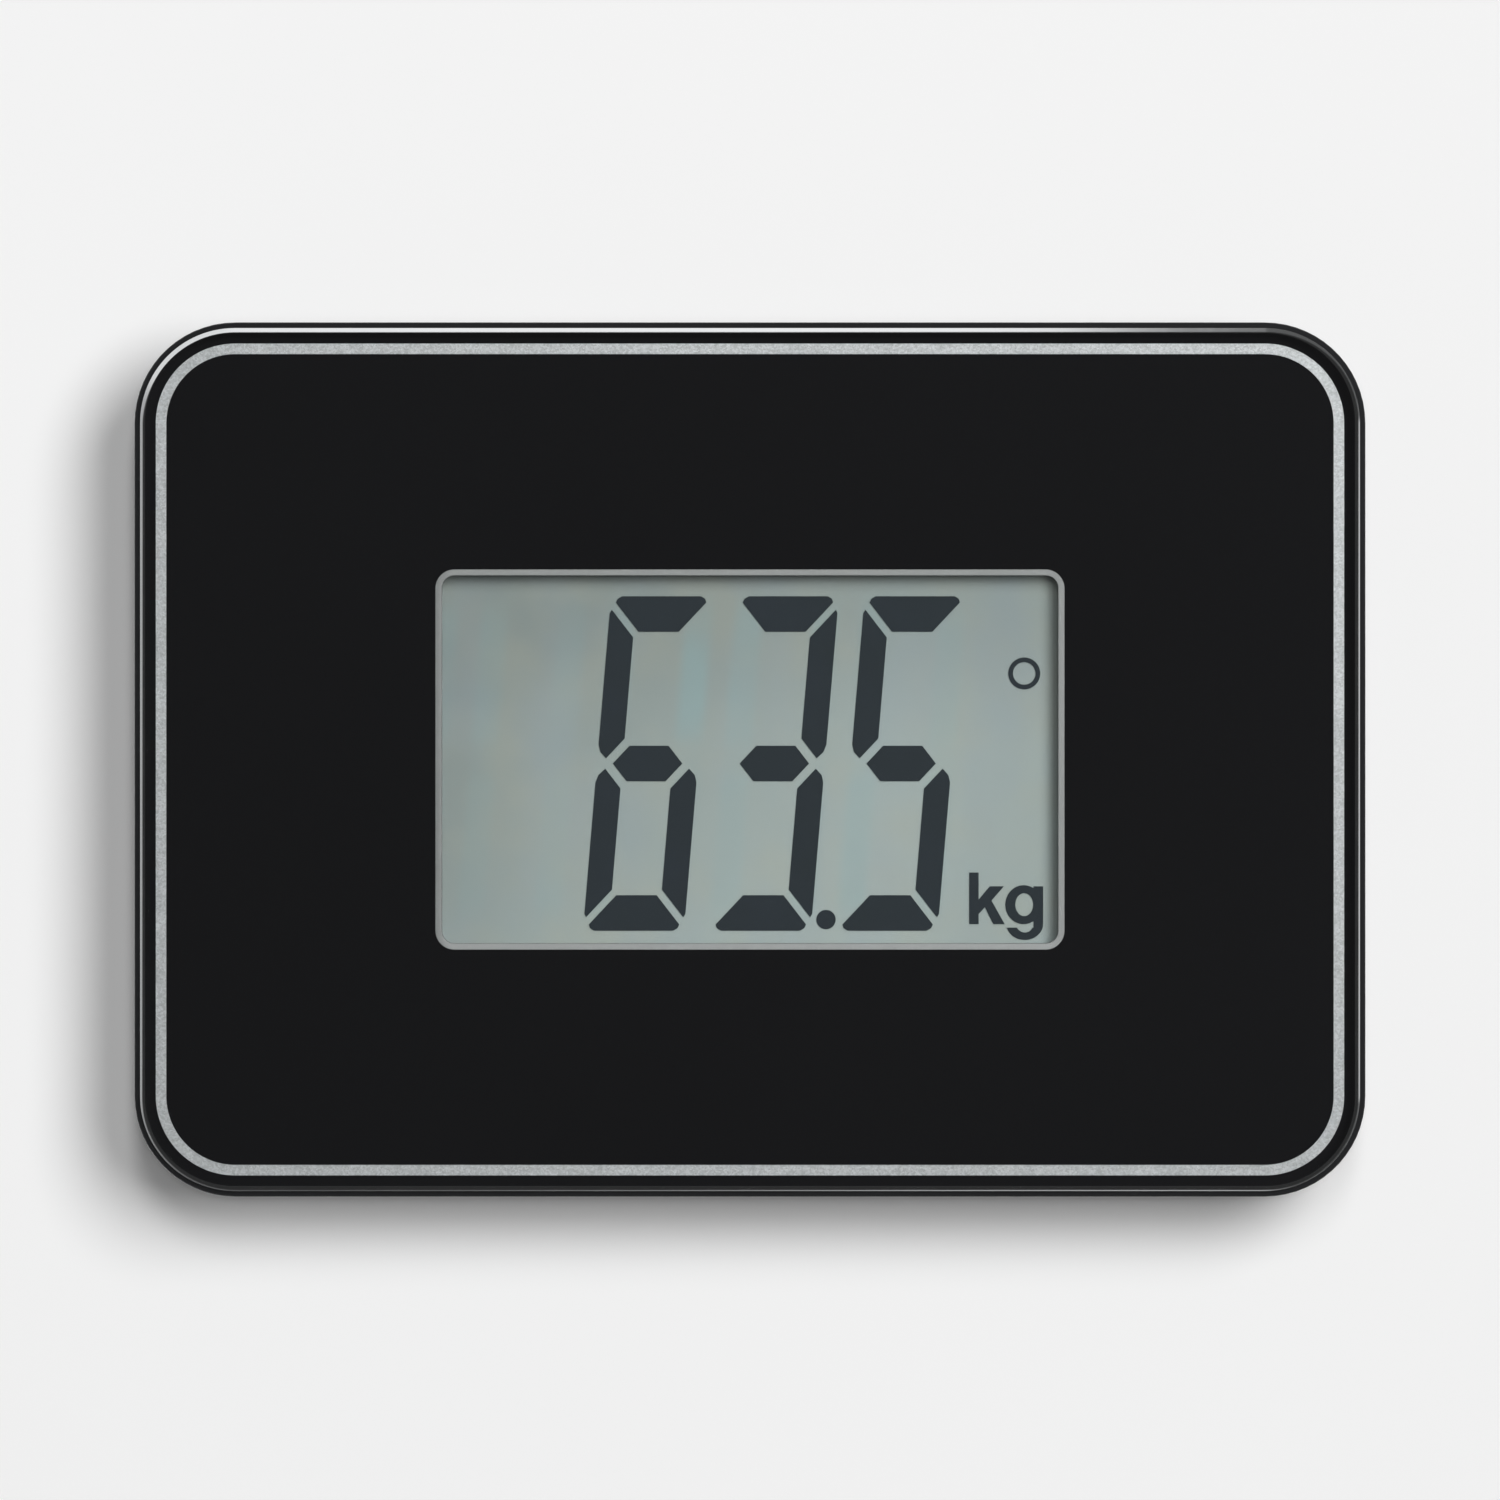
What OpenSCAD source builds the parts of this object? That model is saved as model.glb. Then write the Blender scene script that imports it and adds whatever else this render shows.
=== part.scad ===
// Compact digital bathroom scale. Millimetres, +Z up, origin under the middle of the feet.

/* [Overall] */
// Width of the platform
body_w = 214; // [212:1:222]
// Depth of the platform
body_d = 152; // [150:1:160]
// Height from the floor to the platform
body_h = 24; // [24:0.5:26]
// Corner radius of the platform
corner_r = 17.5; // [16:0.5:19]
// Gap under the base
base_z = 3.5; // [3.5:0.5:4]

/* [Platform] */
// Thickness of the clear panel
panel_t = 3; // [2.5:0.25:3.25]
// Radius of the panel's softened top edge
panel_edge_r = 1.4; // [0.8:0.1:1.6]
// Width of the housing's rim round the panel
rim_w = 1.05; // [1:0.05:1.5]
// Distance from the panel's edge to the border stripe
stripe_inset = 3.67; // [3:0.01:5]
// Width of the border stripe
stripe_w = 1.83; // [1:0.01:3]
// Distance from the platform's end to the display window
window_side = 52.3; // [52:0.1:54]
// Depth of the display window
window_d = 66.1; // [65:0.1:68]
// Corner radius of the display window
window_r = 3.3; // [2.5:0.1:4]

/* [Display] */
// Width of bezel seen at the window's ends
bezel_show_x = 1.1; // [0.9:0.1:2]
// Width of bezel seen at the window's sides
bezel_show_y = 1.05; // [0.85:0.1:2]
// Distance from the view's left end to the hundreds digit
digit_left = 4.85; // [4:0.05:7]
// Room for the unit at the view's right end
unit_room = 18.45; // [18:0.05:22]
// Gap between two digits
digit_gap = 4.5; // [4:0.1:7]
// Distance from the view's far side to the digits
digit_top = 3.55; // [2:0.05:6]
// Distance from the view's near side to the digits
digit_bottom = 2.15; // [1:0.05:5]
// Lean of the digits in degrees
digit_lean = 4.8; // [0:0.1:6]

/* [Housing] */
// Wall thickness of the housing
wall = 2.2; // [2:0.1:2.4]
// Radius of the base's lower edge
base_edge_r = 2.5; // [1.5:0.25:2.5]
// Height of the joint between base and upper housing
split_z = 12; // [11.5:0.25:12.25]

/* [Feet] */
// Radius of a rubber pad
pad_r = 15; // [12:0.5:15.5]
// Distance from the platform's end to a foot's centre
foot_inset_x = 23; // [22.5:0.5:25]
// Distance from the platform's side to a foot's centre
foot_inset_y = 22.5; // [22.5:0.5:24]
// Side of a load cell
cell_side = 28; // [26:0.5:28]

/* [Power] */
// Radius of an AAA cell
aaa_r = 5.25; // [5.2:0.01:5.25]
// Length of an AAA cell with its nub
aaa_l = 44.5; // [44:0.1:44.6]

/* [Hidden] */
$fn = 64;

// Clearances and gauges
slip = 0.3;
ink_t = 0.1;
adhesive_t = 0.3;
deck_t = 1.5;
plate_t = 1.2;
glass_t = 0.7;
film_t = 0.2;
pcb_t = 1.6;
floor_t = 2;
seam = 0.3;
rim_slip = 0.1;
rim_soft = 0.35;
rim_drop = 0.2;

// Heights, from the platform down
panel_z = body_h - panel_t;
ink_z = panel_z - ink_t;
deck_top = ink_z - adhesive_t;
deck_z = deck_top - deck_t;
plate_z = deck_z - plate_t;
bezel_z = deck_z - 0.1;
front_glass_z = bezel_z - film_t - glass_t;
seal_z = front_glass_z - film_t;
rear_glass_z = seal_z - glass_t;
reflector_z = rear_glass_z - film_t;
holder_z = reflector_z - 1.4;
pcb_z = holder_z - pcb_t;
floor_z = base_z + floor_t;

// Housing outlines
panel_w = body_w - 2 * rim_w;
panel_d = body_d - 2 * rim_w;
panel_r = corner_r - rim_w;
rim_top = body_h - panel_edge_r - rim_drop;
inner_w = body_w - 2 * wall;
inner_d = body_d - 2 * wall;
inner_r = corner_r - wall;
lip_out = 1.4;
lip_t = 0.9;
lip_h = 1.6;

// Display outlines
window_w = body_w - 2 * window_side;
view_w = window_w - 2 * bezel_show_x;
view_d = window_d - 2 * bezel_show_y;
bezel_w = view_w + 3.4;
bezel_d = view_d + 4;
bezel_slip = 0.2;
glass_w = view_w + 3.8;
glass_d = view_d + 10;
ledge = 3;
rear_d = glass_d - 2 * ledge;
seal_w = 1.5;
holder_w = glass_w + 2 * slip + 4.8;
holder_d = glass_d + 2 * slip + 9.4;
pcb_w = holder_w - 1;
pcb_d = holder_d - 1;
zebra_w = 2;
zebra_l = glass_w - 14;
zebra_y = glass_d / 2 - ledge / 2;

// Digits: half sizes, strokes and joints of the seven segments
PLACES = 4;
digit_pitch = (view_w - digit_left - unit_room + digit_gap) / PLACES;
digit_w = digit_pitch - digit_gap;
digit_h = view_d - digit_top - digit_bottom;
digit_x = -view_w / 2 + digit_left + digit_w / 2;
digit_y = (digit_bottom - digit_top) / 2;
seg_u = digit_w / 2;
seg_v = digit_h / 2;
stroke_u = 4.45;
stroke_v = 6.2;
joint_slope = 1.17;
joint_gap_u = 0.83;
joint_gap_v = 0.97;
seg_t = 0.1;
seg_z = seal_z + (film_t - seg_t) / 2;
unit_x = view_w / 2 - 15.4;
unit_y = -view_d / 2 + 3.3;
point_pos = [digit_x + 2 * digit_pitch + digit_w / 2 + 0.2, -view_d / 2 + 4.1];
point_r = 1.69;
ring_pos = [view_w / 2 - 5.8, view_d / 2 - 17];
ring_r = 2.79;
ring_bore_r = 1.96;

// Lit segments a to g of each place, from hundreds to tenths
LIT = [[0, 0, 0, 0, 0, 0, 0], [1, 0, 1, 1, 1, 1, 1], [1, 1, 1, 1, 0, 0, 1], [1, 0, 1, 1, 0, 1, 1]];

// Feet and load cells
foot_x = body_w / 2 - foot_inset_x;
foot_y = body_d / 2 - foot_inset_y;
FEET = [[-1, -1], [1, -1], [1, 1], [-1, 1]];
pad_t = 1.6;
pad_edge = 0.5;
shell_r = pad_r + 1.5;
shell_z = 0.8;
foot_hole_r = shell_r + 0.5;
flange_r = cell_side / 2 + 5;
flange_z = floor_z + slip;
flange_t = 1.2;
rim_z = flange_z + flange_t;
cell_z = rim_z + 1.4;
cell_t = 2;
cell_top = cell_z + cell_t;
cell_r = 3;
frame_w = 4;
tongue_w = 10;
tongue_l = 17;
clamp_t = 1.2;
clamp_r = flange_r - 1;
peg_r = 1.1;
peg_x = cell_side / 2 + 2;
post_r = 3.5;
fin_r = 8;
fin_t = 1.2;
coat = [5, 7, 1.2];
coat_x = 9;
lead_r = 0.5;
lead_gap = 1.6;
lead_lift = 0.7;
lead_end = 0.15;
bay_lead_r = 0.6;

// Base: bay, battery cover, button, screws
aaa_pitch = 2 * aaa_r + 0.4;
bay_w = 3 * aaa_pitch + 2 * aaa_r + 0.6;
bay_x1 = inner_w / 2 - 0.9;
bay_x0 = bay_x1 - bay_w;
bay_wall = 1;
bay_end_t = 1.2;
contact_t = 0.4;
spring_l = 5.9;
bay_l = aaa_l + spring_l + 2 * contact_t;
cover_z = base_z;
cover_t = 1.8;
aaa_z = floor_z + 0.1 + aaa_r;
bay_roof = aaa_z + aaa_r + slip;
bay_end = bay_l / 2;
hinge_y = bay_end + 2.4;
cover_l = hinge_y - slip;
tab_w = 6;
pocket_h = 2.7;
pocket_l = 5.4;
TABS = [0.8, 2.2];
contact_h = 5.2;
contact_w = 8;
button_y = -25;
button_r = 4;
button_z = base_z + 0.4;
button_flange = 1.5;
switch_h = 3.5;
plunger_r = 1.7;
switch_z = pcb_z - switch_h;
plunger_z = switch_z - 0.9;
press = 0.4;
screw_x = foot_x - 36;
screw_y = body_d / 2 - 14;
side_x = body_w / 2 - 10;
side_y = 14;
CASE = [[-screw_x, -screw_y], [screw_x, -screw_y], [screw_x, screw_y], [-screw_x, screw_y],
        [-side_x, -side_y], [-side_x, side_y]];
boss_r = 3.6;
pilot_r = 1.4;
shank_r = 1.3;
head_r = 2.9;
head_h = 1.8;
sink_r = 3.3;
sink_z = floor_z + 1.7;
base_boss_r = 4.5;
pcb_screw_x = holder_w / 2 - 8.2;
pcb_screw_y = holder_d / 2 - 2.3;
stake_r = 1.5;
STAKES = [[foot_x - 14, foot_y - 21], [screw_x / 2, foot_y - 2]];
header = [12, 9, 3];
header_x = pcb_w / 2 - 23.7;
power_header = [4, 8];
power_header_x = pcb_w / 2 - 7.7;
header_mid = pcb_z - header[2] / 2;

function lerp(a, b, t) = a + (b - a) * t;
function unit(v) = v / norm(v);
function flip(points) = [for (i = [len(points) - 1:-1:0]) points[i]];
function ellipse(rx, ry, n = 48) = [for (i = [0:n - 1]) [rx * cos(360 * i / n), ry * sin(360 * i / n)]];

// A smooth curve through points, with steps pieces between each two
function at(p, i) = p[max(0, min(len(p) - 1, i))];
function between(a, b, c, d, t) =
  b + ((c - a) * t + (2 * a - 5 * b + 4 * c - d) * t * t + (3 * b - a - 3 * c + d) * t * t * t) / 2;
function smooth(p, steps) = [
  for (i = [0:len(p) - 2]) for (k = [0:steps - 1])
    between(at(p, i - 1), p[i], p[i + 1], at(p, i + 2), k / steps),
  p[len(p) - 1]
];

// A round tube along a curve
module tube(path, r, sides = 8) {
  n = len(path);
  points = [
    for (i = [0:n - 1])
      let (t = unit(at(path, i + 1) - at(path, i - 1)))
      let (u = unit(cross(t, [0.12, 0.07, 1])))
      let (v = cross(u, t))
      for (k = [0:sides - 1]) path[i] + r * (u * cos(360 * k / sides) + v * sin(360 * k / sides))
  ];
  skin = [
    for (i = [0:n - 2]) for (k = [0:sides - 1])
      let (a = i * sides + k)
      let (b = i * sides + (k + 1) % sides)
      for (face = [[a, b, b + sides], [a, b + sides, a + sides]]) face
  ];
  first = [for (k = [sides - 1:-1:0]) k];
  last = [for (k = [0:sides - 1]) (n - 1) * sides + k];
  polyhedron(points, [for (f = concat(skin, [first, last])) flip(f)], convexity = 6);
}

module round_rect(w, d, r) {
  square([w - 2 * r, d], center = true);
  square([w, d - 2 * r], center = true);
  for (sx = [-1, 1]) for (sy = [-1, 1])
    translate([sx * (w / 2 - r), sy * (d / 2 - r)]) circle(r);
}

module slab(w, d, r, z0, z1) {
  translate([0, 0, z0]) linear_extrude(z1 - z0) round_rect(w, d, r);
}

module ring(w, d, r, t, z0, z1) {
  translate([0, 0, z0]) linear_extrude(z1 - z0) difference() {
    round_rect(w, d, r);
    round_rect(w - 2 * t, d - 2 * t, r - t);
  }
}

// Section of a plate from its axis out, with the outer top edge rounded
module edge_section(half, h, edge) {
  difference() {
    square([half, h]);
    translate([half - edge, h - edge]) difference() {
      square(edge + 1);
      circle(edge);
    }
  }
}

// A rounded slab whose top edge is softened all the way round
module soft_slab(w, d, r, h, edge) {
  cx = w / 2 - r;
  cy = d / 2 - r;
  translate([-cx, -cy, 0]) cube([2 * cx, 2 * cy, h]);
  for (mx = [0, 1]) for (my = [0, 1]) mirror([mx, 0, 0]) mirror([0, my, 0])
    translate([cx, cy, 0]) rotate_extrude(angle = 90) edge_section(r, h, edge);
  for (m = [0, 1]) mirror([m, 0, 0]) translate([cx, 0, 0])
    rotate([90, 0, 0]) linear_extrude(2 * cy, center = true) edge_section(r, h, edge);
  for (m = [0, 1]) mirror([0, m, 0]) translate([0, cy, 0])
    rotate([90, 0, 90]) linear_extrude(2 * cx, center = true) edge_section(r, h, edge);
}

module disc(pos, r, z0, z1) {
  translate([pos[0], pos[1], z0]) cylinder(r = r, h = z1 - z0);
}

module block(x0, x1, y0, y1, z0, z1) {
  translate([x0, y0, z0]) cube([x1 - x0, y1 - y0, z1 - z0]);
}

// ---- Platform ----
module top_panel() {
  color([0.12, 0.12, 0.13, 0.35]) translate([0, 0, panel_z])
    soft_slab(panel_w, panel_d, panel_r, panel_t, panel_edge_r);
}

module stripe_outline() {
  difference() {
    round_rect(body_w - 2 * stripe_inset, body_d - 2 * stripe_inset, corner_r - stripe_inset);
    round_rect(body_w - 2 * (stripe_inset + stripe_w), body_d - 2 * (stripe_inset + stripe_w),
               corner_r - stripe_inset - stripe_w);
  }
}

module panel_ink() {
  edge = 0.3;
  color([0.05, 0.05, 0.06]) translate([0, 0, ink_z]) linear_extrude(ink_t) difference() {
    round_rect(panel_w - 2 * edge, panel_d - 2 * edge, panel_r - edge);
    round_rect(window_w, window_d, window_r);
    stripe_outline();
  }
}

module border_stripe() {
  color([0.7, 0.71, 0.72]) translate([0, 0, ink_z]) linear_extrude(ink_t) stripe_outline();
}

module panel_adhesive() {
  edge = 1.5;
  color([0.2, 0.2, 0.2]) difference() {
    slab(panel_w - 2 * edge, panel_d - 2 * edge, panel_r - edge, deck_top, ink_z);
    slab(bezel_w + 2, bezel_d + 2, 2, deck_top - 1, ink_z + 1);
  }
}

// ---- Upper housing ----
module heat_stake(pos) {
  disc(pos, stake_r, plate_z - 1, deck_z);
  disc(pos, 2.6, plate_z - 1, plate_z);
}

module load_post(pos) {
  disc(pos, post_r, cell_top, deck_z);
  for (turn = [0, 90]) translate([pos[0], pos[1], 0]) rotate(turn)
    block(-fin_r, fin_r, -fin_t / 2, fin_t / 2, split_z + 1.5, deck_z);
}

module upper_housing() {
  color([0.08, 0.08, 0.09]) difference() {
    union() {
      difference() {
        translate([0, 0, split_z + seam])
          soft_slab(body_w, body_d, corner_r, rim_top - split_z - seam, rim_soft);
        slab(panel_w + 2 * rim_slip, panel_d + 2 * rim_slip, panel_r + rim_slip, deck_top, body_h);
        slab(inner_w, inner_d, inner_r, split_z, deck_z);
        slab(body_w - 2 * lip_out + 0.2, body_d - 2 * lip_out + 0.2, corner_r - lip_out + 0.1,
             split_z, split_z + lip_h + 0.2);
        slab(bezel_w + 2 * bezel_slip, bezel_d + 2 * bezel_slip, 2, deck_z - 1, deck_top + 1);
      }
      for (f = FEET) load_post([f[0] * foot_x, f[1] * foot_y]);
      for (p = CASE) disc(p, boss_r, split_z, deck_z);
      for (f = FEET) for (s = STAKES) heat_stake([f[0] * s[0], f[1] * s[1]]);
    }
    for (p = CASE) disc(p, pilot_r, split_z - 1, deck_z - 1);
    for (f = FEET) disc([f[0] * pcb_screw_x, f[1] * pcb_screw_y], 1.1, deck_z - 1, deck_top - 0.5);
  }
}

module stiffener_plate() {
  gap = 0.6;
  color("slategray") difference() {
    slab(inner_w - 2 * gap, inner_d - 2 * gap, inner_r - gap, plate_z, deck_z);
    slab(holder_w + 2, holder_d + 2, 3, plate_z - 1, deck_z + 1);
    for (f = FEET) disc([f[0] * foot_x, f[1] * foot_y], fin_r + 0.6, plate_z - 1, deck_z + 1);
    for (p = CASE) disc(p, boss_r + 0.5, plate_z - 1, deck_z + 1);
    for (f = FEET) for (s = STAKES)
      disc([f[0] * s[0], f[1] * s[1]], stake_r + 0.2, plate_z - 1, deck_z + 1);
  }
}

// ---- Display ----
module lcd_bezel() {
  color([0.58, 0.59, 0.58]) difference() {
    slab(bezel_w, bezel_d, 1.8, bezel_z, ink_z);
    slab(view_w, view_d, 2.2, bezel_z - 1, ink_z + 1);
  }
}

module lcd_polarizer() {
  color([0.6, 0.65, 0.64, 0.3]) slab(glass_w - 1, glass_d - 1, 1, bezel_z - film_t, bezel_z);
}

module lcd_front_glass() {
  color([0.8, 0.9, 0.9, 0.3]) slab(glass_w, glass_d, 0.6, front_glass_z, front_glass_z + glass_t);
}

module lcd_seal() {
  color([0.5, 0.5, 0.5]) ring(glass_w, rear_d, 2, seal_w, seal_z, front_glass_z);
}

module lcd_rear_glass() {
  color([0.8, 0.9, 0.9, 0.3]) slab(glass_w, rear_d, 0.6, rear_glass_z, seal_z);
}

module lcd_reflector() {
  color([0.6, 0.65, 0.64]) slab(glass_w - 1, rear_d - 1, 1, reflector_z, rear_glass_z);
}

// Points lean to the right with height
function lean(p) = [p[0] + p[1] * tan(digit_lean), p[1]];

// The top bar, from its inner left corner
function bar_points() =
  let (inner = seg_u - stroke_u - joint_gap_u)
  let (tip_v = seg_v - 1.1)
  let (tip_u = inner + (tip_v - seg_v + stroke_v) / joint_slope)
  [[-inner, seg_v - stroke_v], [inner, seg_v - stroke_v], [tip_u, tip_v], [tip_u - 0.25, tip_v + 0.65],
   [tip_u - 1, seg_v], [1 - tip_u, seg_v], [0.25 - tip_u, tip_v + 0.65], [-tip_u, tip_v]];

// The upper left upright, from its inner top corner
function upright_points() =
  let (inner = seg_u - stroke_u)
  let (top_v = seg_v - stroke_v - joint_gap_v)
  let (low_v = stroke_v / 2 + 1.25)
  let (foot_u = seg_u - 1.5)
  [[-inner, top_v], [-seg_u + 0.33, top_v + (stroke_u - 0.33) * joint_slope],
   [-seg_u, top_v + stroke_u * joint_slope - 1], [-seg_u, 3.3], [-seg_u + 0.4, 2],
   [-foot_u, low_v - (foot_u - inner) * joint_slope], [-inner, low_v]];

// The middle bar
function middle_points() =
  let (half = stroke_v / 2)
  let (tip = seg_u - 2.75)
  let (flat = tip - half / joint_slope)
  [[-tip, 0], [-flat, half], [flat, half], [tip, 0], [flat, -half], [-flat, -half]];

function mirrored(points, su, sv) = [for (p = points) [p[0] * su, p[1] * sv]];
SEGMENTS = [
  bar_points(), mirrored(upright_points(), -1, 1), mirrored(upright_points(), -1, -1),
  mirrored(bar_points(), 1, -1), mirrored(upright_points(), 1, -1), upright_points(), middle_points()
];

// Segments whose state in the table is the one asked for
module digits(state) {
  for (place = [0:PLACES - 1]) for (s = [0:6]) if (LIT[place][s] == state)
    translate([digit_x + place * digit_pitch, digit_y])
      polygon([for (p = SEGMENTS[s]) lean(p)]);
}

module letter_k() {
  polygon([[0, 0], [0, 9], [1.65, 9], [1.65, 4.3], [3.6, 6.6], [6.05, 6.6], [3.9, 4.1], [6.2, 0],
           [4.2, 0], [2.75, 2.95], [1.65, 1.75], [1.65, 0]]);
}

module letter_g() {
  right = 12.9;
  translate([right - 1.7, 0]) square([1.7, 6.6]);
  difference() {
    translate([9.5, 3.4]) polygon(ellipse(3.2, 3.4));
    translate([9.6, 3.4]) polygon(ellipse(1.55, 2));
    translate([right - 1.2, 0]) square([3, 8]);
  }
  difference() {
    translate([right - 3.2, 0.05]) polygon(ellipse(3.2, 2.8));
    translate([right - 3.2, 0.05]) polygon(ellipse(1.5, 1.5));
    translate([5, -0.6]) square([6.2, 4]);
    translate([right - 1.6, 0]) square([3, 4]);
  }
}

module lcd_segments() {
  color([0.2, 0.22, 0.25]) translate([0, 0, seg_z]) linear_extrude(seg_t) {
    digits(1);
    translate(point_pos) circle(point_r);
    translate(ring_pos) difference() {
      circle(ring_r);
      circle(ring_bore_r);
    }
    translate([unit_x, unit_y]) letter_k();
    translate([unit_x, unit_y]) letter_g();
  }
}

module lcd_idle_segments() {
  color([0.5, 0.59, 0.6]) translate([0, 0, seg_z]) linear_extrude(seg_t) digits(0);
}

module lcd_holder() {
  color([0.85, 0.85, 0.83]) difference() {
    slab(holder_w, holder_d, 3, holder_z, deck_z);
    slab(glass_w + 2 * slip, glass_d + 2 * slip, 0.9, reflector_z, deck_z + 1);
    for (side = [-1, 1]) translate([0, side * zebra_y, 0])
      block(-zebra_l / 2 - slip, zebra_l / 2 + slip, -zebra_w / 2 - 0.2, zebra_w / 2 + 0.2,
            holder_z - 1, reflector_z + 1);
    for (f = FEET) disc([f[0] * pcb_screw_x, f[1] * pcb_screw_y], 1.2, holder_z - 1, deck_z + 1);
  }
}

module zebra(side) {
  color([0.9, 0.75, 0.75]) translate([0, side * zebra_y, 0])
    block(-zebra_l / 2, zebra_l / 2, -zebra_w / 2, zebra_w / 2, holder_z, front_glass_z);
}

// ---- Electronics, hanging under the display ----
module main_pcb() {
  color([0.1, 0.4, 0.2]) difference() {
    slab(pcb_w, pcb_d, 2, pcb_z, holder_z);
    for (f = FEET) disc([f[0] * pcb_screw_x, f[1] * pcb_screw_y], 1.2, pcb_z - 1, holder_z + 1);
  }
}

module chip_blob() {
  blob_r = 8;
  blob_h = 1.6;
  color([0.06, 0.06, 0.06]) translate([0, 14, pcb_z]) mirror([0, 0, 1]) rotate_extrude()
    polygon([[0, 0], for (a = [0:15:90]) [blob_r * cos(a), blob_h * sin(a)]]);
}

module quartz_crystal() {
  color("silver") translate([16, 14, 0]) rotate(90) slab(11, 4.7, 2.3, pcb_z - 3.5, pcb_z);
}

module capacitors() {
  color([0.2, 0.25, 0.5]) for (k = [0:2]) disc([-14 - 7 * k, 18], 2.5, pcb_z - 3.6, pcb_z);
}

module wire_headers() {
  color([0.92, 0.9, 0.84]) {
    for (side = [-1, 1]) translate([side * header_x, 0, pcb_z - header[2]])
      block(-header[0] / 2, header[0] / 2, -header[1], header[1], 0, header[2]);
    translate([power_header_x, 0, pcb_z - header[2]])
      block(-power_header[0] / 2, power_header[0] / 2, -power_header[1] / 2, power_header[1] / 2,
            0, header[2]);
  }
}

module tact_switch() {
  color([0.15, 0.15, 0.15]) difference() {
    block(-3, 3, button_y - 3, button_y + 3, switch_z, pcb_z);
    disc([0, button_y], plunger_r + 0.2, switch_z - 1, switch_z + 1.4);
  }
}

module switch_plunger() {
  color([0.7, 0.2, 0.2]) disc([0, button_y], plunger_r, plunger_z, switch_z + 0.8);
}

// ---- Load cells and feet ----
// Each is drawn at its own corner, with its root turned to the middle
module at_foot(k) {
  turned = FEET[k][0] < 0 ? 0 : 1;
  translate([FEET[k][0] * foot_x, FEET[k][1] * foot_y, 0]) mirror([turned, 0, 0]) children();
}

module load_cell(k) {
  hollow = cell_side - 2 * frame_w;
  color([0.75, 0.75, 0.72]) at_foot(k) difference() {
    slab(cell_side, cell_side, cell_r, cell_z, cell_top);
    difference() {
      slab(hollow, hollow, 1.5, cell_z - 1, cell_top + 1);
      block(hollow / 2 - tongue_l, hollow / 2 + 1, -tongue_w / 2, tongue_w / 2, cell_z - 1, cell_top + 1);
    }
  }
}

module gauge_coatings() {
  color([0.93, 0.92, 0.88]) for (k = [0:3]) at_foot(k)
    block(coat_x - coat[0], coat_x, -coat[1] / 2, coat[1] / 2, cell_top, cell_top + coat[2]);
}

module cell_clamp(k) {
  hollow = cell_side - 2 * frame_w;
  color([0.2, 0.2, 0.22]) at_foot(k) difference() {
    disc([0, 0], clamp_r, cell_top, cell_top + clamp_t);
    slab(hollow, hollow, 1.5, cell_top - 1, cell_top + clamp_t + 1);
    block(0, clamp_r + 1, -tongue_w / 2, tongue_w / 2, cell_top - 1, cell_top + clamp_t + 1);
    for (p = PEGS) disc(p, peg_r + 0.1, cell_top - 1, cell_top + clamp_t + 1);
  }
}

PEGS = [[-peg_x, 0], [0, peg_x], [0, -peg_x]];

module foot_shell(k) {
  hollow = cell_side - 2 * frame_w + 0.6;
  well_r = 9;
  color([0.1, 0.1, 0.11]) at_foot(k) {
    rotate_extrude() polygon([
      [0, pad_t], [pad_r + 0.2, pad_t], [pad_r + 0.2, shell_z], [shell_r - 0.4, shell_z],
      [shell_r, shell_z + 0.4], [shell_r, flange_z], [flange_r, flange_z], [flange_r, rim_z],
      [well_r, rim_z], [well_r, pad_t + 1.4], [0, pad_t + 1.4]
    ]);
    difference() {
      slab(cell_side, cell_side, cell_r, rim_z, cell_z);
      slab(hollow, hollow, 1.5, rim_z - 1, cell_z + 1);
    }
    for (p = PEGS) {
      disc(p, peg_r, rim_z, cell_top + clamp_t);
      disc(p, peg_r + 0.8, cell_top + clamp_t, cell_top + clamp_t + 0.6);
    }
  }
}

module foot_pad(k) {
  groove = 0.5;
  color([0.16, 0.16, 0.17]) at_foot(k) difference() {
    rotate_extrude() polygon([[0, 0], [pad_r - pad_edge, 0], [pad_r, pad_edge], [pad_r, pad_t], [0, pad_t]]);
    for (r = [pad_r * 0.3, pad_r * 0.55, pad_r * 0.8])
      rotate_extrude() translate([r - groove, -1]) square([2 * groove, 1 + groove]);
  }
}

// ---- Base and battery bay ----
function aaa_x(k) = bay_x0 + 0.3 + aaa_r + k * aaa_pitch;
function tab_x(k) = lerp(aaa_x(0), aaa_x(3), TABS[k] / 3);

module bay_shell() {
  block(bay_x0 - bay_wall, inner_w / 2 + 0.5, -bay_end - bay_end_t, bay_end + bay_end_t,
        floor_z - 1, split_z - 1);
  block(bay_x0 - bay_wall, inner_w / 2 - slip, -bay_end - bay_end_t, bay_end + bay_end_t,
        floor_z - 1, bay_roof + 1);
  for (k = [0, 1])
    block(tab_x(k) - tab_w / 2 - 1.5, tab_x(k) + tab_w / 2 + 1.5, bay_end, bay_end + pocket_l + 1,
          floor_z - 1, floor_z + pocket_h + 1);
}

module bay_hollow() {
  block(bay_x0, bay_x1, -bay_end, bay_end, floor_z - 3, bay_roof);
  block(bay_x0, bay_x1, -hinge_y - 0.2, hinge_y + 0.2, base_z - 1, floor_z);
  for (k = [0, 1])
    block(tab_x(k) - tab_w / 2 - 0.5, tab_x(k) + tab_w / 2 + 0.5, bay_end - 1, bay_end + pocket_l,
          floor_z, floor_z + pocket_h);
  for (k = [0, 3]) translate([aaa_x(k), bay_end - 1, aaa_z + 1])
    rotate([-90, 0, 0]) cylinder(r = 0.9, h = 4);
}

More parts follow.
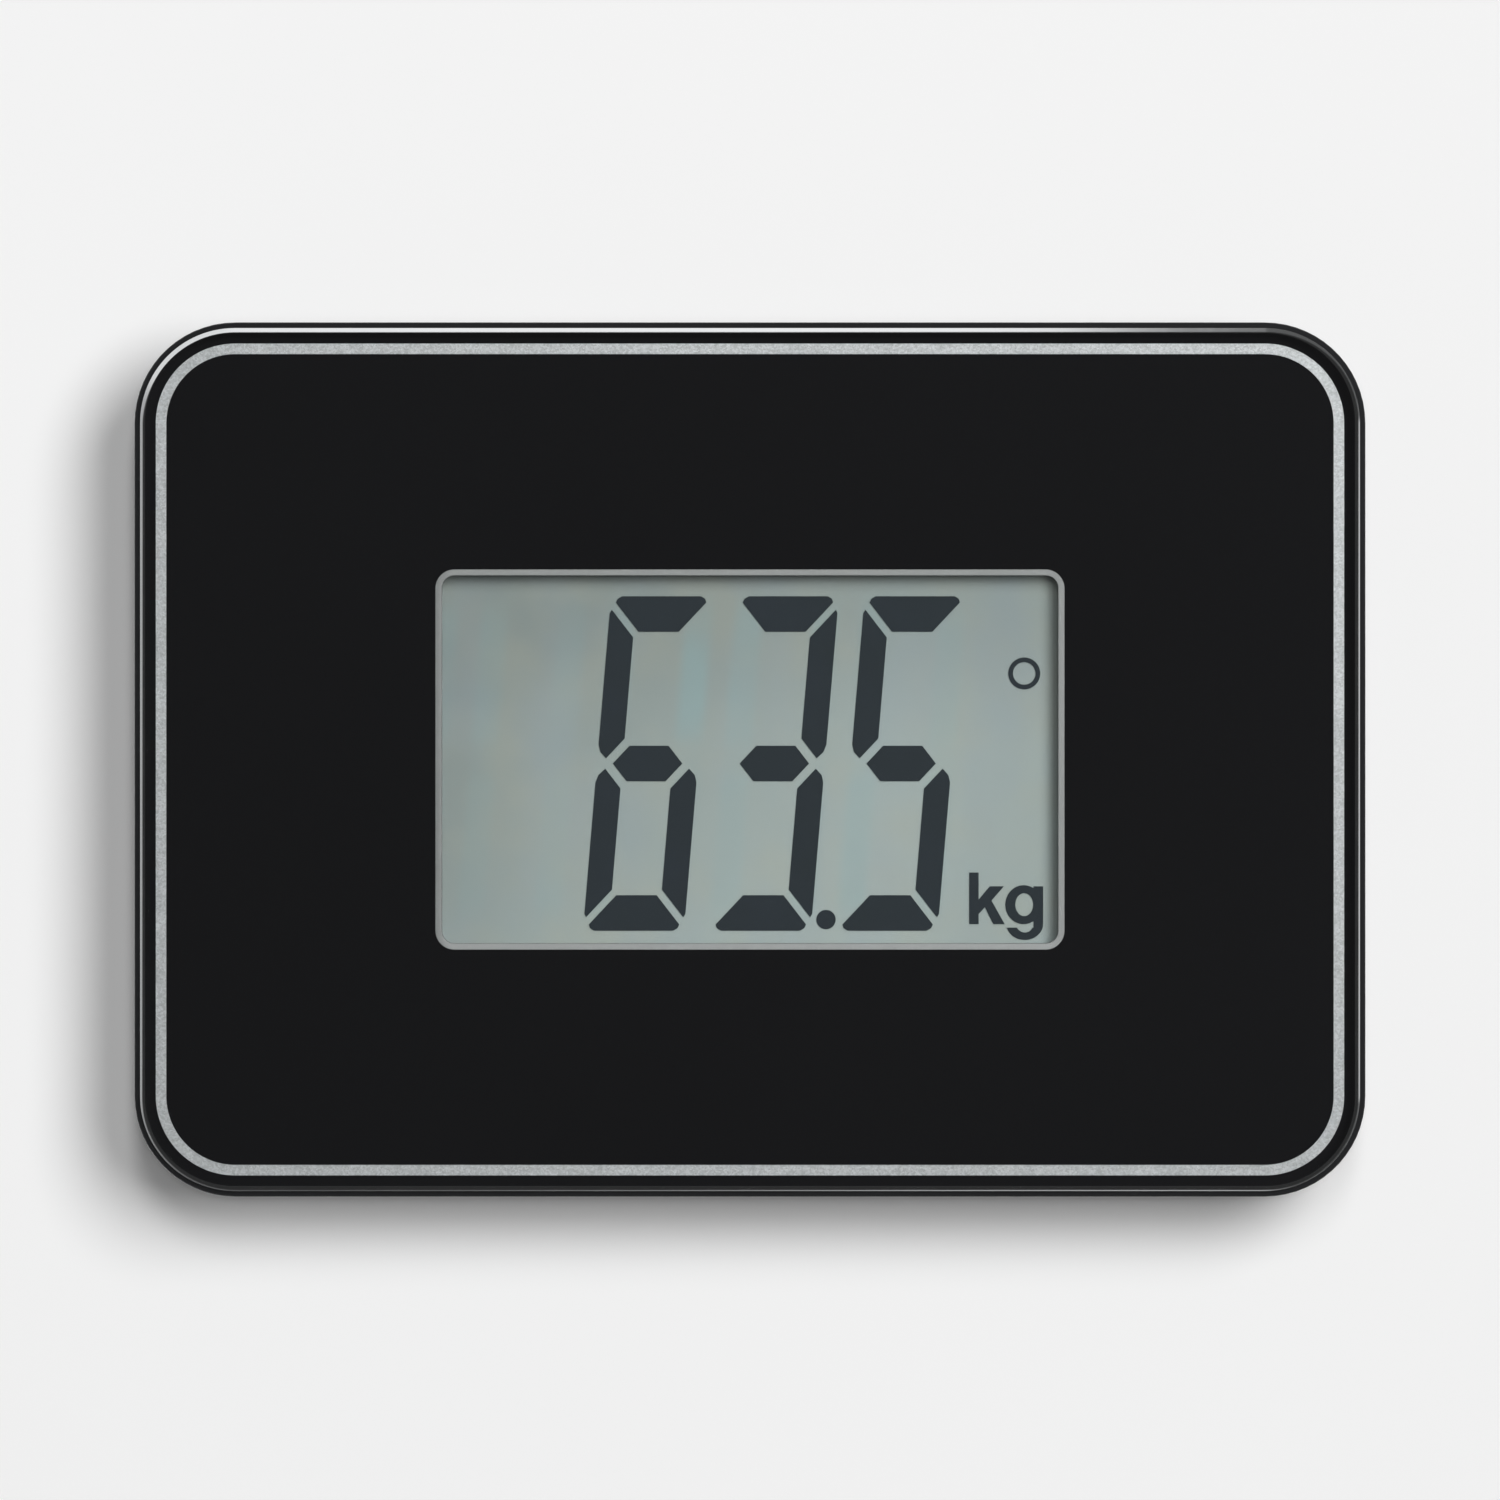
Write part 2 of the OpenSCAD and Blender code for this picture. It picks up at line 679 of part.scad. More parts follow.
module bay_saddles() {
  for (k = [0:2]) translate([aaa_x(k) + aaa_pitch / 2, 0, 0])
    block(-0.4, 0.4, -aaa_l / 2 + 4, aaa_l / 2 - 4, bay_roof - 2, bay_roof);
}

module base_cover() {
  rib = 1.2;
  rib_h = 1.5;
  rib_x = screw_x / 2;
  label = [64, 26];
  color([0.08, 0.08, 0.09]) difference() {
    union() {
      difference() {
        translate([0, 0, split_z]) mirror([0, 0, 1])
          soft_slab(body_w, body_d, corner_r, split_z - base_z, base_edge_r);
        slab(inner_w, inner_d, inner_r, floor_z, split_z + 1);
      }
      ring(body_w - 2 * lip_out, body_d - 2 * lip_out, corner_r - lip_out, lip_t, split_z - 1, split_z + lip_h);
      for (f = FEET) difference() {
        disc([f[0] * foot_x, f[1] * foot_y], foot_hole_r + 3, base_z - 0.6, base_z + 0.5);
        disc([f[0] * foot_x, f[1] * foot_y], foot_hole_r, base_z - 2, base_z + 2);
      }
      for (p = CASE) disc(p, base_boss_r, floor_z - 0.5, split_z);
      for (y = [-1, 1]) block(-foot_x + flange_r + 4, foot_x - flange_r - 4, y * (foot_y + 2) - rib / 2,
                              y * (foot_y + 2) + rib / 2, floor_z - 0.5, floor_z + rib_h);
      for (x = [-1, 0, 1]) block(x * rib_x - rib / 2, x * rib_x + rib / 2, foot_y - 8, foot_y + 12,
                                 floor_z - 0.5, floor_z + rib_h);
      for (x = [-1, 0, 1]) block(x * rib_x - rib / 2, x * rib_x + rib / 2, -foot_y - 12, -foot_y + 8,
                                 floor_z - 0.5, floor_z + rib_h);
      disc([0, button_y], button_r + 3.2, floor_z - 0.5, floor_z + 0.4);
      bay_shell();
    }
    difference() {
      bay_hollow();
      bay_saddles();
    }
    for (f = FEET) disc([f[0] * foot_x, f[1] * foot_y], foot_hole_r, base_z - 1, floor_z + 1);
    for (p = CASE) {
      disc(p, sink_r, base_z - 1, sink_z);
      disc(p, 1.6, sink_z - 1, split_z + 1);
    }
    disc([0, button_y], button_r + slip, base_z - 1, floor_z + 2);
    translate([-20, 10, 0]) slab(label[0], label[1], 3, base_z - 1, base_z + 0.3);
  }
}

module battery_cover() {
  rib_gap = 0.8;
  x0 = bay_x0 + slip;
  x1 = bay_x1 - slip;
  color([0.09, 0.09, 0.1]) difference() {
    union() {
      block(x0, x1, -cover_l, cover_l, cover_z, cover_z + cover_t);
      for (k = [0:2]) translate([aaa_x(k) + aaa_pitch / 2, 0, 0])
        block(-0.4, 0.4, -aaa_l / 2 + 4, aaa_l / 2 - 4, cover_z + 1, floor_z + rib_gap);
      for (k = [0, 1]) {
        block(tab_x(k) - tab_w / 2, tab_x(k) + tab_w / 2, hinge_y - 1.8, cover_l,
              cover_z + 1, floor_z + 1.3);
        block(tab_x(k) - tab_w / 2, tab_x(k) + tab_w / 2, hinge_y - 1.8, hinge_y + 2.2,
              floor_z + slip, floor_z + 1.3);
      }
    }
    // Grip scallop and grooves beside the latch tongue
    translate([(x0 + x1) / 2, -cover_l + 8, cover_z - 0.01]) for (row = [0:3])
      translate([0, row * 2.4, 0]) block(-7, 7, -0.5, 0.5, -1, 0.5);
    for (side = [-1, 1]) translate([(x0 + x1) / 2 + side * 9.4, 0, 0])
      block(-0.4, 0.4, -cover_l - 1, -cover_l + 14, cover_z - 1, cover_z + cover_t + 1);
  }
}

module unit_button() {
  color([0.3, 0.3, 0.32]) {
    disc([0, button_y], button_r, button_z, floor_z + 1);
    disc([0, button_y], button_r + button_flange, floor_z + 0.4, floor_z + 1.4);
    disc([0, button_y], 1.5, floor_z + 1, plunger_z);
  }
}

// Cells 1 and 3 point to +Y, the other two to -Y
module aaa_cell(k) {
  way = k % 2 == 0 ? 1 : -1;
  crimp = 0.8;
  color([0.75, 0.55, 0.25]) translate([aaa_x(k), way * (bay_end - contact_t), aaa_z])
    rotate([way * 90, 0, 0]) rotate_extrude() polygon([
      [0, 0], [1.9, 0], [1.9, crimp], [aaa_r - 0.4, crimp], [aaa_r, crimp + 0.4],
      [aaa_r, aaa_l - 0.4], [aaa_r - 0.4, aaa_l], [0, aaa_l]
    ]);
}

// Coil points, from its wide end at the plate to its narrow end at the cell
function coil(turns, length, wide, narrow, steps) = [
  for (i = [0:turns * steps])
    let (t = i / (turns * steps))
    let (r = lerp(wide, narrow, t))
    [r * cos(360 * i / steps), r * sin(360 * i / steps), lerp(0, length, t)]
];

module spring_wire(turns, length, wide, narrow, wire_r) {
  steps = 10;
  sides = 6;
  path = coil(turns, length, wide, narrow, steps);
  n = len(path);
  points = [
    for (i = [0:n - 1]) let (a = 360 * i / steps) for (k = [0:sides - 1])
      path[i] + wire_r * [cos(a) * cos(360 * k / sides), sin(a) * cos(360 * k / sides), sin(360 * k / sides)]
  ];
  skin = [
    for (i = [0:n - 2]) for (k = [0:sides - 1])
      let (a = i * sides + k)
      let (b = i * sides + (k + 1) % sides)
      for (face = [[a, b + sides, b], [a, a + sides, b + sides]]) face
  ];
  first = [for (k = [0:sides - 1]) k];
  last = [for (k = [sides - 1:-1:0]) (n - 1) * sides + k];
  polyhedron(points, [for (f = concat(skin, [first, last])) flip(f)], convexity = 8);
}

module battery_springs() {
  wire_r = 0.3;
  margin = wire_r + 0.05;
  color("silver") for (k = [0:3]) {
    way = k % 2 == 0 ? -1 : 1;
    translate([aaa_x(k), way * (bay_end - contact_t - margin), aaa_z]) rotate([way * 90, 0, 0])
      spring_wire(4, spring_l - 2 * margin, 3.6, 2.2, wire_r);
  }
}

module contact(x0, x1, way) {
  block(x0 - contact_w / 2, x1 + contact_w / 2, way * bay_end - (way > 0 ? contact_t : 0),
        way * bay_end + (way > 0 ? 0 : contact_t), aaa_z - contact_h / 2, aaa_z + contact_h / 2);
}

module contact_plates() {
  color([0.8, 0.8, 0.78]) {
    contact(aaa_x(0), aaa_x(0), 1);
    contact(aaa_x(1), aaa_x(2), 1);
    contact(aaa_x(3), aaa_x(3), 1);
    contact(aaa_x(0), aaa_x(1), -1);
    contact(aaa_x(2), aaa_x(3), -1);
  }
}

// ---- Screws ----
module recess(r, depth, z) {
  translate([0, 0, z]) for (turn = [0, 90]) rotate(turn)
    block(-r, r, -0.35, 0.35, -1, depth);
}

module case_screws() {
  length = 9;
  color([0.6, 0.6, 0.62]) for (p = CASE) translate([p[0], p[1], 0]) difference() {
    union() {
      disc([0, 0], head_r, sink_z - head_h, sink_z);
      disc([0, 0], shank_r, sink_z - 1, sink_z + length);
    }
    recess(1.6, 0.9, sink_z - head_h);
  }
}

module pcb_screws() {
  head = 1.3;
  color([0.6, 0.6, 0.62]) for (f = FEET) translate([f[0] * pcb_screw_x, f[1] * pcb_screw_y, 0])
    difference() {
      union() {
        disc([0, 0], 1.9, pcb_z - head, pcb_z);
        disc([0, 0], 1, pcb_z - 1, deck_z + 1);
      }
      recess(1.1, 0.6, pcb_z - head);
    }
}

// ---- Leads ----
// Moves a curve's points sideways in plan
function aside(p, d) = [
  for (i = [0:len(p) - 1])
    let (t = unit(at(p, i + 1) - at(p, i - 1)))
    p[i] + d * unit([t[1], -t[0], 0])
];

// From a cell's coating, down between foot and board, to the header on its own side
function cell_lead(f) =
  let (face = f[0] * (header_x + header[0] / 2))
  let (leave = [f[0] * (foot_x - flange_r - 1), f[1] * foot_y, cell_top + lead_lift])
  let (arrive = [face + f[0] * 3, f[1] * (header[1] / 2), header_mid - 1])
  let (sway = [f[0] * 2, 0, 0])
  [[f[0] * (foot_x - coat_x - 0.05), f[1] * foot_y, cell_top + lead_lift], leave,
   lerp(leave, arrive, 0.25) + sway - [0, 0, 2.5], lerp(leave, arrive, 0.5) + sway - [0, 0, 3.5],
   lerp(leave, arrive, 0.75) - [0, 0, 2.5],
   for (near = [[4.6, 3, 0.4], [2.4, 0.4, 0], [1.2, 0, 0], [lead_end, 0, 0]])
     [face + f[0] * near[0], f[1] * (header[1] / 2 - 0.5 + near[1]), header_mid - near[2]]];

module cell_leads(lane) {
  for (f = FEET) tube(smooth(aside(cell_lead(f), lane * lead_gap * f[0] * f[1]), 3), lead_r);
}

// A battery lead leaves through the bay's end wall, rounds the bay's corner and ends at its header
function bay_lead(k, high, out, y) =
  let (end_y = bay_end + bay_end_t + 1.2)
  let (corner_x = bay_x0 - bay_wall)
  let (start = [aaa_x(k), bay_end + 0.15, aaa_z + 1])
  let (face = power_header_x + power_header[0] / 2)
  [start, start + [0, bay_end_t + 0.6, 0.1], [aaa_x(k) - 2.8, end_y, lerp(aaa_z + 1, high, 0.6)],
   [lerp(bay_x0, aaa_x(k), 0.5), end_y, high], [bay_x0, end_y, high],
   [corner_x - 1, end_y - 0.4, high], [corner_x - out, end_y - 3.5, high],
   [corner_x - out - 0.6, bay_end / 2, high],
   [face + 1.6 + out, y + 4, lerp(high, header_mid, 0.5)],
   for (near = [2.2, 1.1, lead_end]) [face + near, y, header_mid]];

module battery_lead_red() {
  color([0.7, 0.1, 0.08]) tube(smooth(bay_lead(0, aaa_z + 0.4, 1.8, -2), 3), bay_lead_r);
}

module battery_lead_black() {
  color([0.05, 0.05, 0.05]) tube(smooth(bay_lead(3, aaa_z + 2.2, 1.4, 2), 3), bay_lead_r);
}

top_panel();
panel_ink();
border_stripe();
panel_adhesive();
upper_housing();
stiffener_plate();
lcd_bezel();
lcd_polarizer();
lcd_front_glass();
lcd_seal();
lcd_segments();
lcd_idle_segments();
lcd_rear_glass();
lcd_reflector();
lcd_holder();
zebra(-1);  // zebra_strip_front
zebra(1);  // zebra_strip_rear
main_pcb();
chip_blob();
quartz_crystal();
capacitors();
wire_headers();
tact_switch();
switch_plunger();
for (k = [0:3]) load_cell(k);
gauge_coatings();
for (k = [0:3]) cell_clamp(k);
for (k = [0:3]) foot_shell(k);
for (k = [0:3]) foot_pad(k);
base_cover();
battery_cover();
unit_button();
for (k = [0:3]) aaa_cell(k);
battery_springs();
contact_plates();
case_screws();
pcb_screws();
color([0.7, 0.1, 0.08]) cell_leads(-1);  // leads_red
color([0.9, 0.9, 0.88]) cell_leads(0);  // leads_white
color([0.05, 0.05, 0.05]) cell_leads(1);  // leads_black
battery_lead_red();
battery_lead_black();
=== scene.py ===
"""Dressed model of a compact digital bathroom scale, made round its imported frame.

Every size is in metres, in the frame of the solids: +X along the width, +Y to the top of the
display, +Z up, with the origin on the floor under the middle of the feet.
"""

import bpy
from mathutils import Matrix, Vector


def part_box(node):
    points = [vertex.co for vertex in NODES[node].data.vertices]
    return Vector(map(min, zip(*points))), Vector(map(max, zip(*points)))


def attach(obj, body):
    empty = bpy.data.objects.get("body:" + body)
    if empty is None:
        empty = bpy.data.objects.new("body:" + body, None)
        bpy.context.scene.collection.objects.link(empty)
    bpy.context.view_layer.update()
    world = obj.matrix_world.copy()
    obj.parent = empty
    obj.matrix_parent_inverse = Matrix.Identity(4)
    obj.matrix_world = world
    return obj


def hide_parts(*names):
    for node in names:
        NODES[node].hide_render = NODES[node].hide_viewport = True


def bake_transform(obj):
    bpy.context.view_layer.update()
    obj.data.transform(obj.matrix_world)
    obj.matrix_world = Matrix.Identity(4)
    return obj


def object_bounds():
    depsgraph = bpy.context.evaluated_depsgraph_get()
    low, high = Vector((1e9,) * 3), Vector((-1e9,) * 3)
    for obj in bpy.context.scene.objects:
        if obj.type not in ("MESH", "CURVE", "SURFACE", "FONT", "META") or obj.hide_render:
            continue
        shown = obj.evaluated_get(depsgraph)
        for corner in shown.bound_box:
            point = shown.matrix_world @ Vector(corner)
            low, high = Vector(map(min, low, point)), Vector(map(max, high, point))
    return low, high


bl_info = {
    "name": "Bathroom scale maker",
    "version": (1, 0, 0),
    "blender": (4, 5, 0),
    "location": "3D View > Sidebar > Scale",
    "description": "Makes the platform, display, housing, feet and stage of a digital scale",
    "category": "Add Mesh",
}

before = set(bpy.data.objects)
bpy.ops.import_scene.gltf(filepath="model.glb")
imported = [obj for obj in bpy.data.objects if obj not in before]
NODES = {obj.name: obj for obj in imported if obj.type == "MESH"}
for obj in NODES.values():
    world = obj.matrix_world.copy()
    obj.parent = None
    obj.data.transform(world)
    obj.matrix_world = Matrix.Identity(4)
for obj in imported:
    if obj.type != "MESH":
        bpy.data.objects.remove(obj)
CAD_BOX = [list(corner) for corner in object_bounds()]

import math

import bmesh
import bpy
from bpy.props import FloatProperty, FloatVectorProperty, PointerProperty
from mathutils import Vector

MM = 0.001
SKIN_GAP = 0.02 * MM  # parts that would touch behind clear sheets are parted by this


# ---- sizes and colours
def size(name, description, millimetres):
    """A length property whose default is given in millimetres."""
    return FloatProperty(name=name, description=description, default=millimetres * MM,
                         min=0.0, unit="LENGTH", precision=5)


def colour(name, description, value):
    """A colour property in linear light."""
    return FloatVectorProperty(name=name, description=description, default=value,
                               size=3, min=0.0, max=1.0, subtype="COLOR")


def fraction(name, description, value):
    """A plain number, such as a share of the whole."""
    return FloatProperty(name=name, description=description, default=value, min=0.0, subtype="FACTOR")


class PlatformSizes(bpy.types.PropertyGroup):
    """Sizes of the platform's panel and print."""
    corner: size("Corner", "Corner radius of the housing's outline", 17.5)
    edge: size("Edge", "Width of the panel's polished edge", 1.4)
    stripe_inset: size("Stripe inset", "From the housing's outline to the stripe", 3.67)
    stripe_width: size("Stripe width", "Width of the border stripe", 1.83)
    window_width: size("Window width", "Width of the clear window in the print", 109.4)
    window_depth: size("Window depth", "Depth of the clear window in the print", 66.1)
    window_corner: size("Window corner", "Corner radius of the window", 3.3)


class DisplaySizes(bpy.types.PropertyGroup):
    """Sizes of the display's view and its digits."""
    view_width: size("View width", "Width of the bezel's opening", 107.2)
    view_depth: size("View depth", "Depth of the bezel's opening", 64.0)
    view_corner: size("View corner", "Corner radius of the bezel's opening", 2.2)
    digit_height: size("Digit height", "Height of a digit", 58.3)
    digit_pitch: size("Digit pitch", "From one digit to the next", 22.1)
    first_bar: size("First bar", "From the middle back to the left bar of the first digit", 46.5)
    bar_spacing: size("Bar spacing", "From a digit's left bar to its right bar", 13.4)
    lean: FloatProperty(name="Lean", description="Lean of the digits", default=math.radians(4.8),
                        subtype="ANGLE")


class ScaleColours(bpy.types.PropertyGroup):
    """Colours of the main finishes."""
    ink: colour("Ink", "Black print behind the panel", (0.0075, 0.0076, 0.0084))
    stripe: colour("Stripe", "Silver border stripe", (0.46, 0.475, 0.48))
    housing: colour("Housing", "Moulded housing", (0.015, 0.0153, 0.0165))
    bezel: colour("Bezel", "Frame round the display", (0.326, 0.337, 0.333))
    # the ground's two colours are the lit and shaded ends of the painted shade across the display
    ground: colour("Ground", "Display ground at its lightest", (0.425, 0.475, 0.465))
    ground_in_shade: colour("Ground dark", "Display ground at its darkest", (0.315, 0.35, 0.34))
    segment: colour("Segment", "Display segments that are on", (0.033, 0.041, 0.0455))
    idle: colour("Idle segment", "Display segments that are off", (0.32, 0.45, 0.47))


class StageSettings(bpy.types.PropertyGroup):
    """Light and camera."""
    key: fraction("Key", "Key lamp's share of the floor's light", 0.62)
    side_fill: fraction("Side fill", "Side fill's share of the floor's light", 0.19)
    top_fill: fraction("Top fill", "Top fill's share of the floor's light", 0.16)
    wall: fraction("Wall", "Brightness of the wall that reflections see", 1.05)
    floor: colour("Floor", "Floor and backdrop", (0.88, 0.88, 0.88))
    camera_height: size("Camera height", "Camera above the floor", 1224.0)
    camera_shift: size("Camera offset", "Camera's offset towards +Y", 1.65)
    view_side: size("View side", "Side of the square seen at the platform", 260.4)


GROUPS = {"scale_platform": PlatformSizes, "scale_display": DisplaySizes,
          "scale_colours": ScaleColours, "scale_stage": StageSettings}


# ---- node trees
def add(tree, kind, inputs=None, **settings):
    """A node in tree. An input given a socket is linked, and any other value is set on it."""
    node = tree.nodes.new(kind)
    for key, value in settings.items():
        setattr(node, key, value)
    for key, value in (inputs or {}).items():
        if isinstance(value, bpy.types.NodeSocket):
            tree.links.new(value, node.inputs[key])
        else:
            node.inputs[key].default_value = value
    return node


def feed(tree, kind, inputs=None, **settings):
    """The first output of a new node."""
    return add(tree, kind, inputs, **settings).outputs[0]


def maths(tree, operation, *values):
    """The result of a math node."""
    return feed(tree, "ShaderNodeMath", dict(enumerate(values)), operation=operation)


def product(tree, first, *others):
    """Values multiplied together."""
    for other in others:
        first = maths(tree, "MULTIPLY", first, other)
    return first


def axes(tree, vector):
    """The parts of a vector, by axis name."""
    return add(tree, "ShaderNodeSeparateXYZ", {"Vector": vector}).outputs


def scaled(tree, tone, factor):
    """A tone times a number."""
    return feed(tree, "ShaderNodeVectorMath", {0: tone, "Scale": factor}, operation="SCALE")


def vectors(tree, operation, *values):
    """The outputs of a vector math node."""
    return add(tree, "ShaderNodeVectorMath", dict(enumerate(values)), operation=operation).outputs


def distance(tree, place, point):
    """How far a place is from a point."""
    return vectors(tree, "DISTANCE", place, tuple(point))["Value"]


def slope(tree, value, near, far, first, last, kind="SMOOTHSTEP"):
    """Goes from first to last as value goes from near to far."""
    return feed(tree, "ShaderNodeMapRange", {
        "Value": value, "From Min": near, "From Max": far, "To Min": first, "To Max": last},
        interpolation_type=kind)


def between(tree, fac, low, high):
    """fac mapped from 0.3..0.7, where noise mostly lies, to low..high."""
    return slope(tree, fac, 0.3, 0.7, low, high, "LINEAR")


def noise(tree, place, scale, detail=3.0, roughness=0.55, stretch=(1.0, 1.0, 1.0)):
    """Noise with scale features to the metre, drawn out along an axis by stretch."""
    where = feed(tree, "ShaderNodeMapping", {"Vector": place, "Scale": stretch})
    return feed(tree, "ShaderNodeTexNoise", {
        "Vector": where, "Scale": scale, "Detail": detail, "Roughness": roughness})


def rgba(value, factor=1.0):
    """A colour with its strength changed and alpha added."""
    return (*[min(1.0, channel * factor) for channel in value], 1.0)


def blend(tree, fac, first, second):
    """A mix of two colours."""
    return add(tree, "ShaderNodeMix", {0: fac, 6: first, 7: second}, data_type="RGBA").outputs[2]


def ray(tree, kind):
    """1 for a kind of ray."""
    return add(tree, "ShaderNodeLightPath").outputs[f"Is {kind} Ray"]


def bump(tree, height, strength, depth):
    """A bumped normal."""
    return feed(tree, "ShaderNodeBump", {"Height": height, "Strength": strength, "Distance": depth})


# ---- materials
def new_material(name):
    """An empty material, its tree and its object coordinates."""
    material = bpy.data.materials.new(name)
    material.use_nodes = True
    tree = material.node_tree
    tree.nodes.clear()
    return material, tree, add(tree, "ShaderNodeTexCoord").outputs["Object"]


def surfaced(material, shader):
    """The material, ended in a shader."""
    add(material.node_tree, "ShaderNodeOutputMaterial", {"Surface": shader})
    return material


def coated(material, inputs):
    """The material, ended in a principled shader with these inputs."""
    return surfaced(material, feed(material.node_tree, "ShaderNodeBsdfPrincipled", inputs))


def either(tree, fac, first, second):
    """The first shader, or the second where fac is 1."""
    return feed(tree, "ShaderNodeMixShader", {0: fac, 1: first, 2: second})


def moulded(name, value, roughness=0.5, grain=2200.0, depth=0.03 * MM, spread=0.12, painted_shades=()):
    """Moulded plastic or rubber: a fine spark-eroded grain over a slow drift of tone and gloss.

    Each entry of its painted shades, (axis, low, high, share), paints shade that darkens the tone to that
    share towards the low end.
    """
    material, tree, place = new_material(name)
    slow = noise(tree, place, 35.0)
    tone = blend(tree, slow, rgba(value, 1 - spread), rgba(value, 1 + spread))
    for axis, low, high, part in painted_shades:
        tone = scaled(tree, tone, slope(tree, axes(tree, place)[axis], low, high, part, 1.0))
    return coated(material, {
        "Base Color": tone, "Roughness": between(tree, slow, roughness - 0.05, roughness + 0.06),
        "Normal": bump(tree, noise(tree, place, grain, 2.0, 0.6), 0.35, depth)})


def plated(name, value, roughness=0.3, stretch=(1.0, 14.0, 1.0), grain=600.0):
    """Bare or plated metal with drawn or rolled marks along one axis."""
    material, tree, place = new_material(name)
    marks = noise(tree, place, grain, 4.0, 0.6, stretch)
    return coated(material, {
        "Base Color": blend(tree, marks, rgba(value, 0.85), rgba(value, 1.1)), "Metallic": 1.0,
        "Roughness": between(tree, noise(tree, place, 60.0), roughness - 0.06, roughness + 0.1),
        "Normal": bump(tree, marks, 0.15, 0.01 * MM)})


def clear(name, value=(1.0, 1.0, 1.0), ior=1.49, haze=0.004):
    """A clear sheet. Lamps shine through it, so what lies behind is lit."""
    material, tree, place = new_material(name)
    sheet = feed(tree, "ShaderNodeBsdfPrincipled", {
        "Base Color": rgba(value), "Transmission Weight": 1.0, "IOR": ior,
        "Roughness": between(tree, noise(tree, place, 45.0, 4.0), 0.0, haze)})
    through = feed(tree, "ShaderNodeBsdfTransparent", {"Color": rgba(value)})
    soft = maths(tree, "MAXIMUM", ray(tree, "Shadow"), ray(tree, "Diffuse"))
    return surfaced(material, either(tree, soft, sheet, through))


def polished_facet():
    """The panel's polished edge, bright wherever the pale room shows in it."""
    material, tree, place = new_material("polished_facet")
    smear = noise(tree, place, 220.0)
    return coated(material, {
        "Base Color": blend(tree, smear, rgba((0.74, 0.76, 0.77)), rgba((0.82, 0.83, 0.84))),
        "Metallic": 1.0, "Roughness": between(tree, smear, 0.05, 0.09)})


def black_print(value):
    """Screen-printed black behind the panel: nearly even, with a trace of mesh marks."""
    material, tree, place = new_material("black_print")
    slow = noise(tree, place, 12.0, 4.0)
    return coated(material, {
        "Base Color": blend(tree, slow, rgba(value, 0.9), rgba(value, 1.12)),
        "Roughness": between(tree, slow, 0.45, 0.55), "Specular IOR Level": 0.0,
        "Normal": bump(tree, noise(tree, place, 3000.0, 1.0), 0.1, 0.005 * MM)})


def silver_print(value):
    """Metallic ink: flakes that catch the light one by one over a soft cloudy tone, with painted shade that
    darkens it towards +X and towards -Y.
    """
    material, tree, place = new_material("silver_print")
    flakes = add(tree, "ShaderNodeTexVoronoi", {"Vector": place, "Scale": 3600.0}, feature="F1")
    flake = feed(tree, "ShaderNodeSeparateColor", {"Color": flakes.outputs["Color"]})
    split = axes(tree, place)
    level = product(tree, slope(tree, flake, 0.0, 1.0, 0.8, 1.2, "LINEAR"),
                    between(tree, noise(tree, place, 260.0, 5.0, 0.7), 0.93, 1.07),
                    # painted shade: the stripe is darker towards +X and towards -Y
                    slope(tree, split["X"], -10 * MM, 60 * MM, 1.105, 1.02),
                    slope(tree, split["Y"], -65 * MM, 65 * MM, 0.985, 1.055))
    return coated(material, {
        "Base Color": scaled(tree, tuple(value), level), "Metallic": 0.25,
        "Roughness": between(tree, flake, 0.38, 0.52), "Normal": bump(tree, flake, 0.12, 0.01 * MM)})


def ghost_bars(tree, place, sizes):
    """1 inside the faint upright bars of idle segments, fading softly at their sides and ends."""
    split = axes(tree, place)
    across = maths(tree, "SUBTRACT", split["X"], product(tree, split["Y"], math.tan(sizes.lean)))
    rows = []
    for start, strength in ((sizes.first_bar, 1.0), (sizes.first_bar - sizes.bar_spacing, 0.8)):
        cell = maths(tree, "PINGPONG", maths(tree, "ADD", across, start), sizes.digit_pitch / 2)
        rows.append(slope(tree, cell, 1.2 * MM, 3.4 * MM, strength, 0.0))
    height = maths(tree, "ABSOLUTE", split["Y"])
    return product(
        tree, maths(tree, "MAXIMUM", *rows),
        slope(tree, height, sizes.digit_height * 0.40, sizes.digit_height * 0.52, 1.0, 0.0),
        slope(tree, height, 1 * MM, 5 * MM, 0.35, 1.0), slope(tree, split["X"], 36 * MM, 39 * MM, 1.0, 0.0))


